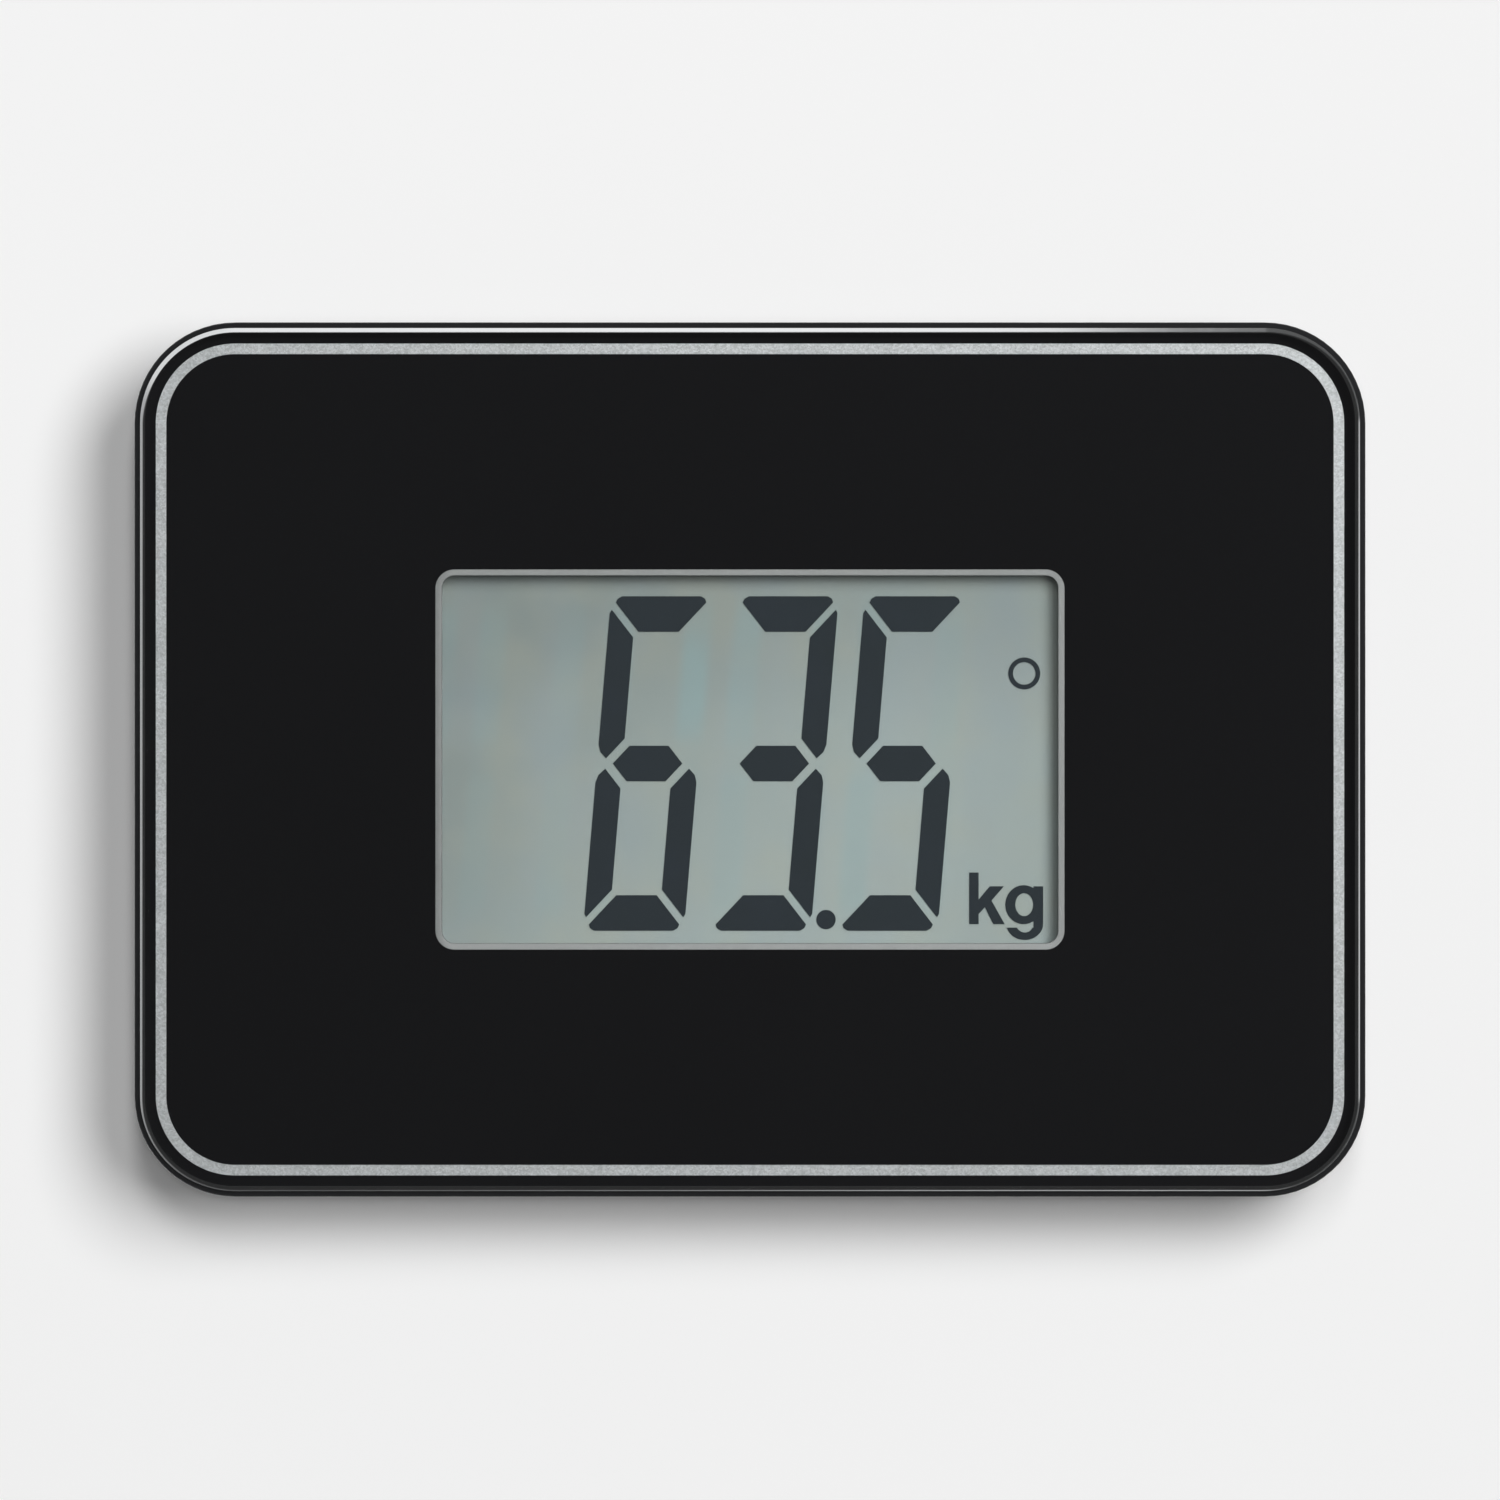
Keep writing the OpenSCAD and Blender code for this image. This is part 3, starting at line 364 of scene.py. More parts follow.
def display_ground(name, colours, sizes, shadowless=False):
    """The display's grey-green ground with faint idle bars, and with painted shade: darker towards its top
    and sides, with a painted shadow of the bezel along its top and right edges.
    """
    material, tree, place = new_material(name)
    split = axes(tree, place)
    across, along = split["X"], split["Y"]
    # painted shade: the ground goes from its shaded colour at the top left to its lit colour at the bottom
    # right
    light = slope(tree, maths(tree, "MULTIPLY_ADD", along, -1.3, across), -75 * MM, 60 * MM, 0.0, 1.0)
    tone = blend(tree, light, rgba(colours.ground_in_shade), rgba(colours.ground))
    warm = between(tree, noise(tree, place, 62.0, 4.0, 0.5), -0.6, 1.4)
    cool = between(tree, noise(tree, place, 48.0, 3.0, 0.4, (1.6, 0.7, 1.0)), -0.9, 1.3)
    for cloud, tint in ((warm, (0.46, 0.455, 0.385)), (cool, (0.355, 0.415, 0.465))):
        tone = blend(tree, cloud, tone, blend(tree, 0.3, tone, rgba(tint)))
    strong = distance(tree, place, (-13 * MM, 13 * MM, 17.5 * MM))
    patch = maths(tree, "ADD", between(tree, noise(tree, place, 28.0, 2.0), 0.05, 0.5),
                  slope(tree, strong, 5 * MM, 12 * MM, 0.55, 0.0))
    tone = blend(tree, product(tree, ghost_bars(tree, place, sizes), patch), tone, rgba(colours.idle))
    # painted shade: darker towards the top and the sides, and a painted shadow of the bezel along the top
    # and right edges
    tone = scaled(tree, tone, product(
        tree, slope(tree, along, 2 * MM, 26 * MM, 1.0, 0.88),
        slope(tree, along, 28.5 * MM, 32 * MM, 1.0, 0.6),
        slope(tree, across, -54 * MM, -34 * MM, 0.95, 1.04),
        slope(tree, across, 20 * MM, 50 * MM, 1.0, 0.91),
        slope(tree, across, 50 * MM, 53.6 * MM, 1.0, 0.55)))
    fine = noise(tree, place, 5200.0, 2.0, 0.7)
    shader = feed(tree, "ShaderNodeBsdfPrincipled", {
        "Base Color": blend(tree, between(tree, fine, 0.0, 0.1), tone, rgba((0.6, 0.62, 0.6))),
        "Roughness": between(tree, fine, 0.55, 0.7), "Specular IOR Level": 0.0,
        "Normal": bump(tree, fine, 0.12, 0.004 * MM)})
    if shadowless:
        shader = either(tree, ray(tree, "Shadow"), shader, feed(tree, "ShaderNodeBsdfTransparent"))
    return surfaced(material, shader)


def segment_film(value):
    """Dark switched-on segments, a touch bluer in places."""
    material, tree, place = new_material("segment_film")
    slow = noise(tree, place, 90.0)
    blue = rgba((value[0], value[1] * 0.98, value[2] * 1.12), 1.05)
    return coated(material, {
        "Base Color": blend(tree, slow, rgba(value, 0.92), blue),
        "Roughness": between(tree, slow, 0.5, 0.6), "Specular IOR Level": 0.0})


def board_mask():
    """Solder mask over rows of copper tracks."""
    material, tree, place = new_material("board_mask")
    where = feed(tree, "ShaderNodeMapping", {"Vector": place, "Scale": (1.0, 1.0, 0.0)})
    tracks = feed(tree, "ShaderNodeTexBrick", {
        "Vector": where, "Scale": 90.0, "Mortar Size": 0.06, "Color1": (0, 0, 0, 1),
        "Color2": (0.15, 0.15, 0.15, 1), "Mortar": (1, 1, 1, 1)})
    return coated(material, {
        "Base Color": blend(tree, tracks, rgba((0.012, 0.085, 0.03)), rgba((0.03, 0.17, 0.06))),
        "Roughness": between(tree, noise(tree, place, 200.0), 0.25, 0.4),
        "Normal": bump(tree, tracks, 0.3, 0.03 * MM)})


def wrapped_cell(name, way):
    """Plastic wrap of a cell: dark, and copper-coloured at the end that lies towards way along Y."""
    material, tree, place = new_material(name)
    band = slope(tree, axes(tree, place)["Y"], way * 11.5 * MM, way * 12.0 * MM, 0.0, 1.0, "LINEAR")
    return coated(material, {
        "Base Color": blend(tree, band, rgba((0.02, 0.02, 0.022)), rgba((0.45, 0.2, 0.07))),
        "Metallic": 0.5, "Roughness": between(tree, noise(tree, place, 120.0), 0.25, 0.4)})


# ---- meshes
CORNER_STEPS = 28
SHARP = math.radians(35)
FLAT = 0.9995  # a face leans no more than this cosine says
LARGE = 20 * MM * MM  # a side face is kept flat from this area up
MERGE = 0.5e-6  # points nearer than this are one


def outline(width, depth, radius):
    """Points of a rounded rectangle, anticlockwise."""
    points = []
    for quarter, (side_x, side_y) in enumerate(((1, 1), (-1, 1), (-1, -1), (1, -1))):
        middle_x = side_x * (width / 2 - radius)
        middle_y = side_y * (depth / 2 - radius)
        for step in range(CORNER_STEPS + 1):
            angle = math.radians(90 * (quarter + step / CORNER_STEPS))
            points.append((middle_x + radius * math.cos(angle), middle_y + radius * math.sin(angle)))
    return points


def spans(low, high):
    """Width and depth of a box."""
    return high[0] - low[0], high[1] - low[1]


def merged(mesh):
    """A bmesh of a mesh, with the points that share a place made one."""
    data = bmesh.new()
    data.from_mesh(mesh)
    bmesh.ops.remove_doubles(data, verts=data.verts, dist=MERGE)
    return data


def linked(name, data):
    """A new object in the scene."""
    item = bpy.data.objects.new(name, data)
    bpy.context.scene.collection.objects.link(item)
    return item


def to_object(name, data):
    """A linked object from a bmesh, smooth but for its sharp edges."""
    mesh = bpy.data.meshes.new(name)
    data.to_mesh(mesh)
    data.free()
    mesh.shade_smooth()
    mesh.set_sharp_from_angle(angle=SHARP)
    return linked(name, mesh)


def evaluated(piece):
    """The plain mesh that a piece's modifiers make."""
    bpy.context.view_layer.update()
    graph = bpy.context.evaluated_depsgraph_get()
    return bpy.data.meshes.new_from_object(piece.evaluated_get(graph), depsgraph=graph)


def loft(name, rings, closed=False):
    """A skin over rings of points. A closed one joins its last ring to its first."""
    data = bmesh.new()
    loops = [[data.verts.new(point) for point in ring] for ring in rings]
    pairs = list(zip(loops, loops[1:]))
    if closed:
        pairs.append((loops[-1], loops[0]))
    else:
        data.faces.new(loops[0])
        data.faces.new(loops[-1])
    for low, high in pairs:
        for here in range(len(low)):
            after = (here + 1) % len(low)
            data.faces.new((low[here], low[after], high[after], high[here]))
    bmesh.ops.recalc_face_normals(data, faces=data.faces)
    return to_object(name, data)


def slab(name, width, depth, radius, section, closed=False):
    """A rounded slab or frame. Its section is a list of (distance in from the outline, height)."""
    rings = []
    for inset, height in section:
        points = outline(width - 2 * inset, depth - 2 * inset, max(radius - inset, 0.1 * MM))
        rings.append([(x, y, height) for x, y in points])
    return loft(name, rings, closed)


def settle(piece, material, body="body", replaced=()):
    """Gives a finished piece its material, the body it rides on if any, and what it stands for."""
    piece.data.materials.clear()
    piece.data.materials.append(material)
    if body:
        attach(piece, body)
    if replaced:
        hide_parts(*replaced)
    return piece


def smooth_copy(node, material, body="body"):
    """A merged copy of a solid, which it replaces: smooth, with its flat faces kept flat."""
    piece = to_object(node + "_finish", merged(NODES[node].data))
    mesh = piece.data
    normals = [corner.vector.copy() for corner in mesh.corner_normals]
    for face in mesh.polygons:
        level = abs(face.normal.z) > FLAT
        upright = abs(face.normal.z) < 1 - FLAT
        flat = level or (face.area > LARGE and max(abs(turn) for turn in face.normal) > FLAT)
        for corner in face.loop_indices:
            if flat:
                normals[corner] = face.normal
            elif upright:
                normals[corner].z = 0.0
                normals[corner].normalize()
    mesh.normals_split_custom_set(normals)
    return settle(piece, material, body, (node,))


def dress(material, *nodes):
    """Gives solids that stay as they are their material."""
    for node in nodes:
        mesh = NODES[node].data
        mesh.materials.clear()
        mesh.materials.append(material)


# ---- platform
# Where the panel's edge rolls over: (share of its width from outside, degrees from upright)
ROLL_OFF = ((0.0, 47.5), (0.55, 54.0), (0.68, 66.0), (0.82, 80.0), (1.0, 90.0))
ROLL_STEPS = 6
FACET_RISE = (0.6, 0.87)  # upward parts of the normals of polished faces


def polished_edge(width, top):
    """Section of the panel's edge: a facet near 45 degrees that rolls over into the top face."""
    points, height = [(width, top)], top
    for (near, low), (far, high) in reversed(list(zip(ROLL_OFF, ROLL_OFF[1:]))):
        for step in range(ROLL_STEPS):
            angle = high + (low - high) * (step + 0.5) / ROLL_STEPS
            height -= (far - near) * width / ROLL_STEPS / math.tan(math.radians(angle))
            points.append((width * (far + (near - far) * (step + 1) / ROLL_STEPS), height))
    return points[::-1]


def make_panel(sizes):
    low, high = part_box("top_panel")
    width, depth = spans(low, high)
    rim = (spans(*CAD_BOX)[0] - width) / 2
    bevel, bottom, top = 0.2 * MM, low[2] + SKIN_GAP, high[2]
    section = [(1.0 * MM, bottom), (bevel, bottom), (0.0, bottom + bevel)]
    section += polished_edge(sizes.edge, top)
    section += [(sizes.edge + 0.15 * MM, top), (sizes.edge + 0.8 * MM, top)]
    piece = slab("clear_panel", width, depth, sizes.corner - rim, section)
    settle(piece, clear("clear_panel", (0.985, 0.99, 0.99)), replaced=("top_panel",))
    piece.data.materials.append(polished_facet())
    for face in piece.data.polygons:
        if FACET_RISE[0] < face.normal.z < FACET_RISE[1] and face.center.z > bottom:
            face.material_index = 1
    return piece


def make_print(sizes, colours):
    """Black print in two fields, with the silver stripe between them."""
    low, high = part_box("panel_ink")
    body_w, body_d = spans(*CAD_BOX)
    edge = (body_w - spans(low, high)[0]) / 2
    bottom, top = low[2], high[2] - SKIN_GAP
    seam = 0.01 * MM
    stripe = sizes.stripe_inset - seam
    border = [(edge, bottom), (edge, top), (stripe, top), (stripe, bottom)]
    outer = slab("print_border", body_w, body_d, sizes.corner, border, closed=True)
    inset = sizes.stripe_inset + sizes.stripe_width + seam
    outside = outline(body_w - 2 * inset, body_d - 2 * inset, sizes.corner - inset)
    window = outline(sizes.window_width, sizes.window_depth, sizes.window_corner)
    rings = [[(x, y, level) for x, y in points] for points, level in (
        (outside, bottom), (outside, top), (window, top), (window, bottom))]
    field = loft("print_field", rings, closed=True)
    ink = black_print(colours.ink)
    settle(outer, ink)
    settle(field, ink, replaced=("panel_ink",))


def swept(tree, curve, profile):
    """A closed mesh that follows a curve."""
    return feed(tree, "GeometryNodeCurveToMesh", {
        "Curve": curve, "Profile Curve": profile, "Fill Caps": True})


def lifted(tree, geometry, height):
    """Geometry moved up."""
    up = feed(tree, "ShaderNodeCombineXYZ", {"Z": height})
    return feed(tree, "GeometryNodeTransform", {"Geometry": geometry, "Translation": up})


def stripe_tree():
    """Geometry nodes that sweep a flat band round a rounded rectangle."""
    tree, given = new_tree("border_stripe_path", "Width", "Depth", "Corner", "Band", "Thickness", "Height")
    path = feed(tree, "GeometryNodeCurvePrimitiveQuadrilateral", {
        "Width": given["Width"], "Height": given["Depth"]})
    soft = feed(tree, "GeometryNodeFilletCurve", {
        "Curve": path, "Radius": given["Corner"], "Count": 48}, mode="POLY")
    profile = feed(tree, "GeometryNodeCurvePrimitiveQuadrilateral", {
        "Width": given["Band"], "Height": given["Thickness"]})
    return close_tree(tree, given, lifted(tree, swept(tree, soft, profile), given["Height"]))


def grown(name, tree, values, points=()):
    """The plain mesh that a geometry tree makes from points, as a new object."""
    start = bpy.data.meshes.new(name + "_seed")
    start.from_pydata(points, [], [])
    seed = linked(name + "_seed", start)
    modifier = seed.modifiers.new("maker", "NODES")
    modifier.node_group = tree
    for item in tree.interface.items_tree:
        if item.in_out == "INPUT" and item.name in values:
            modifier[item.identifier] = values[item.name]
    mesh = evaluated(seed)
    bpy.data.objects.remove(seed)
    data = merged(mesh)
    bmesh.ops.recalc_face_normals(data, faces=data.faces)
    bpy.data.meshes.remove(mesh)
    return to_object(name, data)


def make_stripe(sizes, colours):
    low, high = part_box("border_stripe")
    width, depth = spans(low, high)
    finish = silver_print(colours.stripe)
    top = high[2] - SKIN_GAP
    piece = grown("stripe_print", stripe_tree(), {
        "Width": width - sizes.stripe_width, "Depth": depth - sizes.stripe_width,
        "Corner": sizes.corner - sizes.stripe_inset - sizes.stripe_width / 2,
        "Band": sizes.stripe_width, "Thickness": top - low[2], "Height": (top + low[2]) / 2,
        "Finish": finish})
    return settle(piece, finish, replaced=("border_stripe",))


class SCALE_OT_platform(bpy.types.Operator):
    """Makes the clear panel, its black print and the silver stripe"""
    bl_idname = "scale.platform"
    bl_label = "Platform"

    def execute(self, context):
        sizes, colours = context.scene.scale_platform, context.scene.scale_colours
        make_panel(sizes)
        make_print(sizes, colours)
        make_stripe(sizes, colours)
        dress(moulded("foam_tape", (0.02, 0.02, 0.021), 0.8, 900.0), "panel_adhesive")
        return {"FINISHED"}


# ---- display
def make_glass(sizes, colours):
    """The display's sheets, parted by a hair so that light crosses each face once."""
    low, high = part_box("lcd_front_glass")
    film_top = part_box("lcd_polarizer")[1][2]
    width, depth = spans(low, high)
    soft, corner = 0.08 * MM, 0.6 * MM
    front = slab("display_front_glass", width, depth, corner, [
        (soft, low[2]), (0.0, low[2] + soft), (0.0, film_top - soft), (soft, film_top)])
    settle(front, clear("display_glass", (0.97, 0.985, 0.98), 1.5, 0.02),
           replaced=("lcd_front_glass", "lcd_polarizer"))
    low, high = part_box("lcd_rear_glass")
    width, depth = spans(low, high)
    rear = slab("display_rear_glass", width, depth, corner, [
        (soft, low[2] + SKIN_GAP), (0.0, low[2] + soft), (0.0, high[2] - soft), (soft, high[2])])
    ground = display_ground("display_ground", colours, sizes)
    settle(rear, ground, replaced=("lcd_rear_glass",))
    dress(ground, "lcd_reflector")
    dress(display_ground("idle_segments", colours, sizes, shadowless=True), "lcd_idle_segments")


def make_bezel(sizes, colours):
    low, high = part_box("lcd_bezel")
    top, bottom = high[2], low[2]
    soft, corner = 0.18 * MM, 1.8 * MM
    rings = [(*spans(low, high), corner, level) for level in (bottom, top)]
    for grow, level in ((soft, top), (0.3 * soft, top - 0.3 * soft), (0.0, top - soft), (0.0, bottom)):
        rings.append((sizes.view_width + 2 * grow, sizes.view_depth + 2 * grow,
                      sizes.view_corner + grow, level))
    piece = loft("display_bezel", [[(x, y, level) for x, y in outline(w, d, r)]
                                   for w, d, r, level in rings], closed=True)
    # painted shade: the bezel's inner walls darken towards their foot, and the bezel darkens towards its
    # left side
    painted_shades = (("Z", top - 0.5 * MM, top - 0.15 * MM, 0.5), ("X", low[0], low[0] + 4.0 * MM, 0.585))
    finish = moulded("bezel_plastic", colours.bezel, 0.45, 2600.0, 0.01 * MM, 0.03, painted_shades)
    return settle(piece, finish, replaced=("lcd_bezel",))


class SCALE_OT_display(bpy.types.Operator):
    """Makes the bezel, glass, reflector and segments of the display"""
    bl_idname = "scale.display"
    bl_label = "Display"

    def execute(self, context):
        sizes, colours = context.scene.scale_display, context.scene.scale_colours
        make_bezel(sizes, colours)
        make_glass(sizes, colours)
        dress(segment_film(colours.segment), "lcd_segments")
        dress(moulded("seal_resin", (0.2, 0.2, 0.2), 0.4), "lcd_seal")
        dress(moulded("holder_plastic", (0.62, 0.62, 0.59), 0.5, 1800.0), "lcd_holder")
        dress(moulded("zebra_rubber", (0.6, 0.42, 0.4), 0.6, 1500.0), "zebra_strip_front",
              "zebra_strip_rear")
        return {"FINISHED"}


# ---- housing
class SCALE_OT_housing(bpy.types.Operator):
    """Finishes the housing, base cover, battery cover and unit button"""
    bl_idname = "scale.housing"
    bl_label = "Housing"

    def execute(self, context):
        colours = context.scene.scale_colours
        shell = moulded("housing_plastic", colours.housing, 0.52)
        smooth_copy("upper_housing", shell)
        smooth_copy("base_cover", shell)
        smooth_copy("battery_cover", moulded("cover_plastic", colours.housing, 0.56), "cover")
        smooth_copy("unit_button", moulded("button_plastic", (0.05, 0.05, 0.054), 0.42, 3000.0),
                    "button")
        return {"FINISHED"}


class SCALE_OT_feet(bpy.types.Operator):
    """Finishes the foot shells and rubber pads"""
    bl_idname = "scale.feet"
    bl_label = "Feet"

    def execute(self, context):
        shell = moulded("foot_plastic", context.scene.scale_colours.housing, 0.5)
        rubber = moulded("pad_rubber", (0.035, 0.035, 0.036), 0.75, 1400.0, 0.05 * MM, 0.2)
        clamp = moulded("clamp_plastic", (0.03, 0.03, 0.032), 0.5)
        for number in range(1, 5):
            smooth_copy(f"foot_shell_{number}", shell, f"foot_{number}")
            smooth_copy(f"foot_pad_{number}", rubber, f"foot_{number}")
            dress(clamp, f"cell_clamp_{number}")
        return {"FINISHED"}


# ---- screws and springs
def loose_parts(node):
    """A bmesh for each loose part of a solid, in the order of their first points."""
    whole = merged(NODES[node].data)
    whole.verts.index_update()
    left, parts = set(whole.verts), []
    for first in whole.verts:
        if first not in left:
            continue
        left.remove(first)
        edge, found = [first], set()
        while edge:
            vert = edge.pop()
            found.add(vert.index)
            for link in vert.link_edges:
                other = link.other_vert(vert)
                if other in left:
                    left.remove(other)
                    edge.append(other)
        part = whole.copy()
        others = [vert for vert in part.verts if vert.index not in found]
        bmesh.ops.delete(part, geom=others, context="VERTS")
        parts.append(part)
    whole.free()
    return parts


def corners(part):
    """Lowest and highest corners of a bmesh."""
    return tuple(Vector([pick(vert.co[axis] for vert in part.verts) for axis in range(3)])
                 for pick in (min, max))


def islands(node):
    """Lowest and highest corners of each loose part of a solid, from left to right."""
    found = []
    for part in loose_parts(node):
        found.append(corners(part))
        part.free()
    return sorted(found, key=lambda pair: (round(pair[0].x, 4), pair[0].y))


def new_tree(name, *lengths):
    """A geometry tree with the input lengths given and a finish, and its group input's outputs."""
    tree = bpy.data.node_groups.new(name, "GeometryNodeTree")
    tree.interface.new_socket("Geometry", in_out="INPUT", socket_type="NodeSocketGeometry")
    for label in lengths:
        tree.interface.new_socket(label, in_out="INPUT", socket_type="NodeSocketFloat")
    tree.interface.new_socket("Finish", in_out="INPUT", socket_type="NodeSocketMaterial")
    tree.interface.new_socket("Geometry", in_out="OUTPUT", socket_type="NodeSocketGeometry")
    return tree, add(tree, "NodeGroupInput").outputs


def close_tree(tree, given, geometry):
    """Ends a tree in plain geometry with its finish."""
    solid = feed(tree, "GeometryNodeRealizeInstances", {"Geometry": geometry})
    finished = feed(tree, "GeometryNodeSetMaterial", {"Geometry": solid, "Material": given["Finish"]})
    add(tree, "NodeGroupOutput", {0: finished})
    return tree


def set_out(tree, given, piece, turn=(0.0, 0.0, 0.0)):
    """Ends a tree in a turned piece on each point of the mesh that comes in."""
    points = feed(tree, "GeometryNodeMeshToPoints", {"Mesh": given["Geometry"]})
    placed = feed(tree, "GeometryNodeInstanceOnPoints", {
        "Points": points, "Instance": piece, "Rotation": turn})
    return close_tree(tree, given, placed)


def screw_tree():
    """A cross-head screw, head down, on each point."""
    tree, given = new_tree("cross_head_screws", "Head radius", "Head height", "Shank radius", "Length",
                           "Slot", "Slot depth", "Thread pitch")

    def part_of(label, factor):
        return product(tree, given[label], factor)

    head_height, length = given["Head height"], given["Length"]
    head = feed(tree, "GeometryNodeMeshCone", {
        "Vertices": 40, "Side Segments": 1, "Radius Top": given["Head radius"],
        "Radius Bottom": part_of("Head radius", 0.8), "Depth": head_height})
    long, thin = given["Slot"], part_of("Slot", 0.24)
    for across, along in ((long, thin), (thin, long)):
        extent = feed(tree, "ShaderNodeCombineXYZ", {"X": across, "Y": along, "Z": given["Slot depth"]})
        bar = feed(tree, "GeometryNodeMeshCube", {"Size": extent})
        head = feed(tree, "GeometryNodeMeshBoolean", {"Mesh 1": head, "Mesh 2": bar},
                    operation="DIFFERENCE", solver="EXACT")
    shank = feed(tree, "GeometryNodeMeshCylinder", {
        "Vertices": 24, "Radius": part_of("Shank radius", 0.86), "Depth": length})
    coil = part_of("Shank radius", 0.88)
    helix = feed(tree, "GeometryNodeCurveSpiral", {
        "Resolution": 16, "Rotations": maths(tree, "DIVIDE", part_of("Length", 0.8), given["Thread pitch"]),
        "Start Radius": coil, "End Radius": coil, "Height": part_of("Length", 0.8)})
    ridge = feed(tree, "GeometryNodeCurvePrimitiveCircle", {
        "Resolution": 5, "Radius": part_of("Shank radius", 0.11)})
    whole = add(tree, "GeometryNodeJoinGeometry")
    for piece, height in ((head, part_of("Head height", 0.5)),
                          (shank, maths(tree, "ADD", head_height, part_of("Length", 0.5))),
                          (swept(tree, helix, ridge),
                           maths(tree, "ADD", head_height, part_of("Length", 0.18)))):
        tree.links.new(lifted(tree, piece, height), whole.inputs[0])
    return set_out(tree, given, whole.outputs[0])


def spring_tree():
    """A conical wire spring on each point, lying along Y with its narrow end inward."""
    tree, given = new_tree("cell_springs", "Wide radius", "Narrow radius", "Length", "Wire radius")
    helix = feed(tree, "GeometryNodeCurveSpiral", {
        "Resolution": 28, "Rotations": 4.0, "Start Radius": given["Wide radius"],
        "End Radius": given["Narrow radius"], "Height": given["Length"]})
    wire = feed(tree, "GeometryNodeCurvePrimitiveCircle", {
        "Resolution": 12, "Radius": given["Wire radius"]})
    side = maths(tree, "SIGN", axes(tree, feed(tree, "GeometryNodeInputPosition"))["Y"])
    turn = feed(tree, "ShaderNodeCombineXYZ", {"X": product(tree, side, math.radians(90))})
    return set_out(tree, given, swept(tree, helix, wire), turn)


def make_screws(node, head_height, slot, finish):
    """Screws where the solids of node stand, with their sizes."""
    parts = islands(node)
    low, high = parts[0]
    head = (high.x - low.x) / 2
    places = [((a.x + b.x) / 2, (a.y + b.y) / 2, a.z) for a, b in parts]
    piece = grown(node + "_set", screw_tree(), {
        "Head radius": head, "Head height": head_height, "Shank radius": head * 0.45,
        "Length": high.z - low.z - head_height, "Slot": slot, "Slot depth": head_height * 1.1,
        "Thread pitch": head * 0.4, "Finish": finish}, places)
    return settle(piece, finish, replaced=(node,))


def make_springs(finish):
    parts = islands("battery_springs")
    wide = (parts[0][1].x - parts[0][0].x) / 2
    wire = 0.3 * MM
    places = []
    for low, high in parts:
        base = high.y if high.y > 0 else low.y
        inward = -1 if base > 0 else 1
        places.append(((low.x + high.x) / 2, base + inward * wire, (low.z + high.z) / 2))
    piece = grown("cell_springs", spring_tree(), {
        "Wide radius": wide - wire, "Narrow radius": 2.2 * MM,
        "Length": parts[0][1].y - parts[0][0].y - 2 * wire, "Wire radius": wire, "Finish": finish}, places)
    return settle(piece, finish, replaced=("battery_springs",))


class SCALE_OT_hardware(bpy.types.Operator):
    """Makes the screws and the springs of the battery bay"""
    bl_idname = "scale.hardware"
    bl_label = "Hardware"

    def execute(self, context):
        steel = plated("screw_steel", (0.42, 0.42, 0.43), 0.28)
        make_screws("case_screws", 1.8 * MM, 3.2 * MM, steel)
        make_screws("pcb_screws", 1.3 * MM, 2.2 * MM, steel)
        nickel = plated("nickel", (0.66, 0.63, 0.57), 0.22)
        make_springs(nickel)
        dress(nickel, "contact_plates", "quartz_crystal")
        return {"FINISHED"}


FRAME_WIDTH, CELL_CORNER = 4.0 * MM, 3.0 * MM
TONGUE_LENGTH, TONGUE_WIDTH = 17.0 * MM, 10.0 * MM


def bar_along(name, start, end, half_width, low, high, steps):
    """A square bar from start, a place, to end, an X, in short steps so that it can bend."""
    x, y = start
    rings = []
    for step in range(steps + 1):
        here = x + (end - x) * step / steps
        rings.append([(here, y - half_width, low), (here, y + half_width, low),
                      (here, y + half_width, high), (here, y - half_width, high)])
    return loft(name, rings)


def make_load_cells(steel, silicone):
    """Each cell's frame rides on its foot. Its tongue and gauge coating are built in short steps and ride
    on no body.
    """
    coats = islands("gauge_coatings")
    for number in range(1, 5):
        node, foot = f"load_cell_{number}", f"foot_{number}"
        (left, front, bottom), (right, rear, top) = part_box(node)
        x, y, side = (left + right) / 2, (front + rear) / 2, right - left
        inner = side - 2 * FRAME_WIDTH
        rings = [[(x + u, y + v, level) for u, v in outline(width, width, radius)]
                 for width, radius, level in ((side, CELL_CORNER, bottom), (side, CELL_CORNER, top),
                                              (inner, CELL_CORNER / 2, top),
                                              (inner, CELL_CORNER / 2, bottom))]
        surround = loft(f"load_frame_{number}", rings, closed=True)
        settle(surround, steel, foot, (node,))
        way = 1 if x < 0 else -1
        root = x + way * inner / 2
        free = root - way * TONGUE_LENGTH
        tongue = bar_along(f"load_tongue_{number}", (free, y), root, TONGUE_WIDTH / 2, bottom, top, 16)
        settle(tongue, steel, None, (node,))
        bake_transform(tongue)
        near, far = min(coats, key=lambda box: abs(box[0].x - x) + abs(box[0].y - y))
        coat = bar_along(f"gauge_coating_{number}", (near.x, (near.y + far.y) / 2),
                         far.x, (far.y - near.y) / 2, near.z, far.z, 6)
        settle(coat, silicone, None, ("gauge_coatings",))
        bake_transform(coat)


def make_leads(material, node):
    """Each cell's lead, split from a solid of leads and named after the nearest cell; it rides on no body.
    """
    cells = []
    for number in range(1, 5):
        low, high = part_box(f"load_cell_{number}")
        cells.append(((Vector(low) + Vector(high)) / 2, number))
    for part in loose_parts(node):
        gaps = [min((vert.co - middle).length for vert in part.verts) for middle, _ in cells]
        middle, number = cells[gaps.index(min(gaps))]
        piece = to_object(f"{node}_{number}", part)
        settle(piece, material, None, (node,))
        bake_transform(piece)


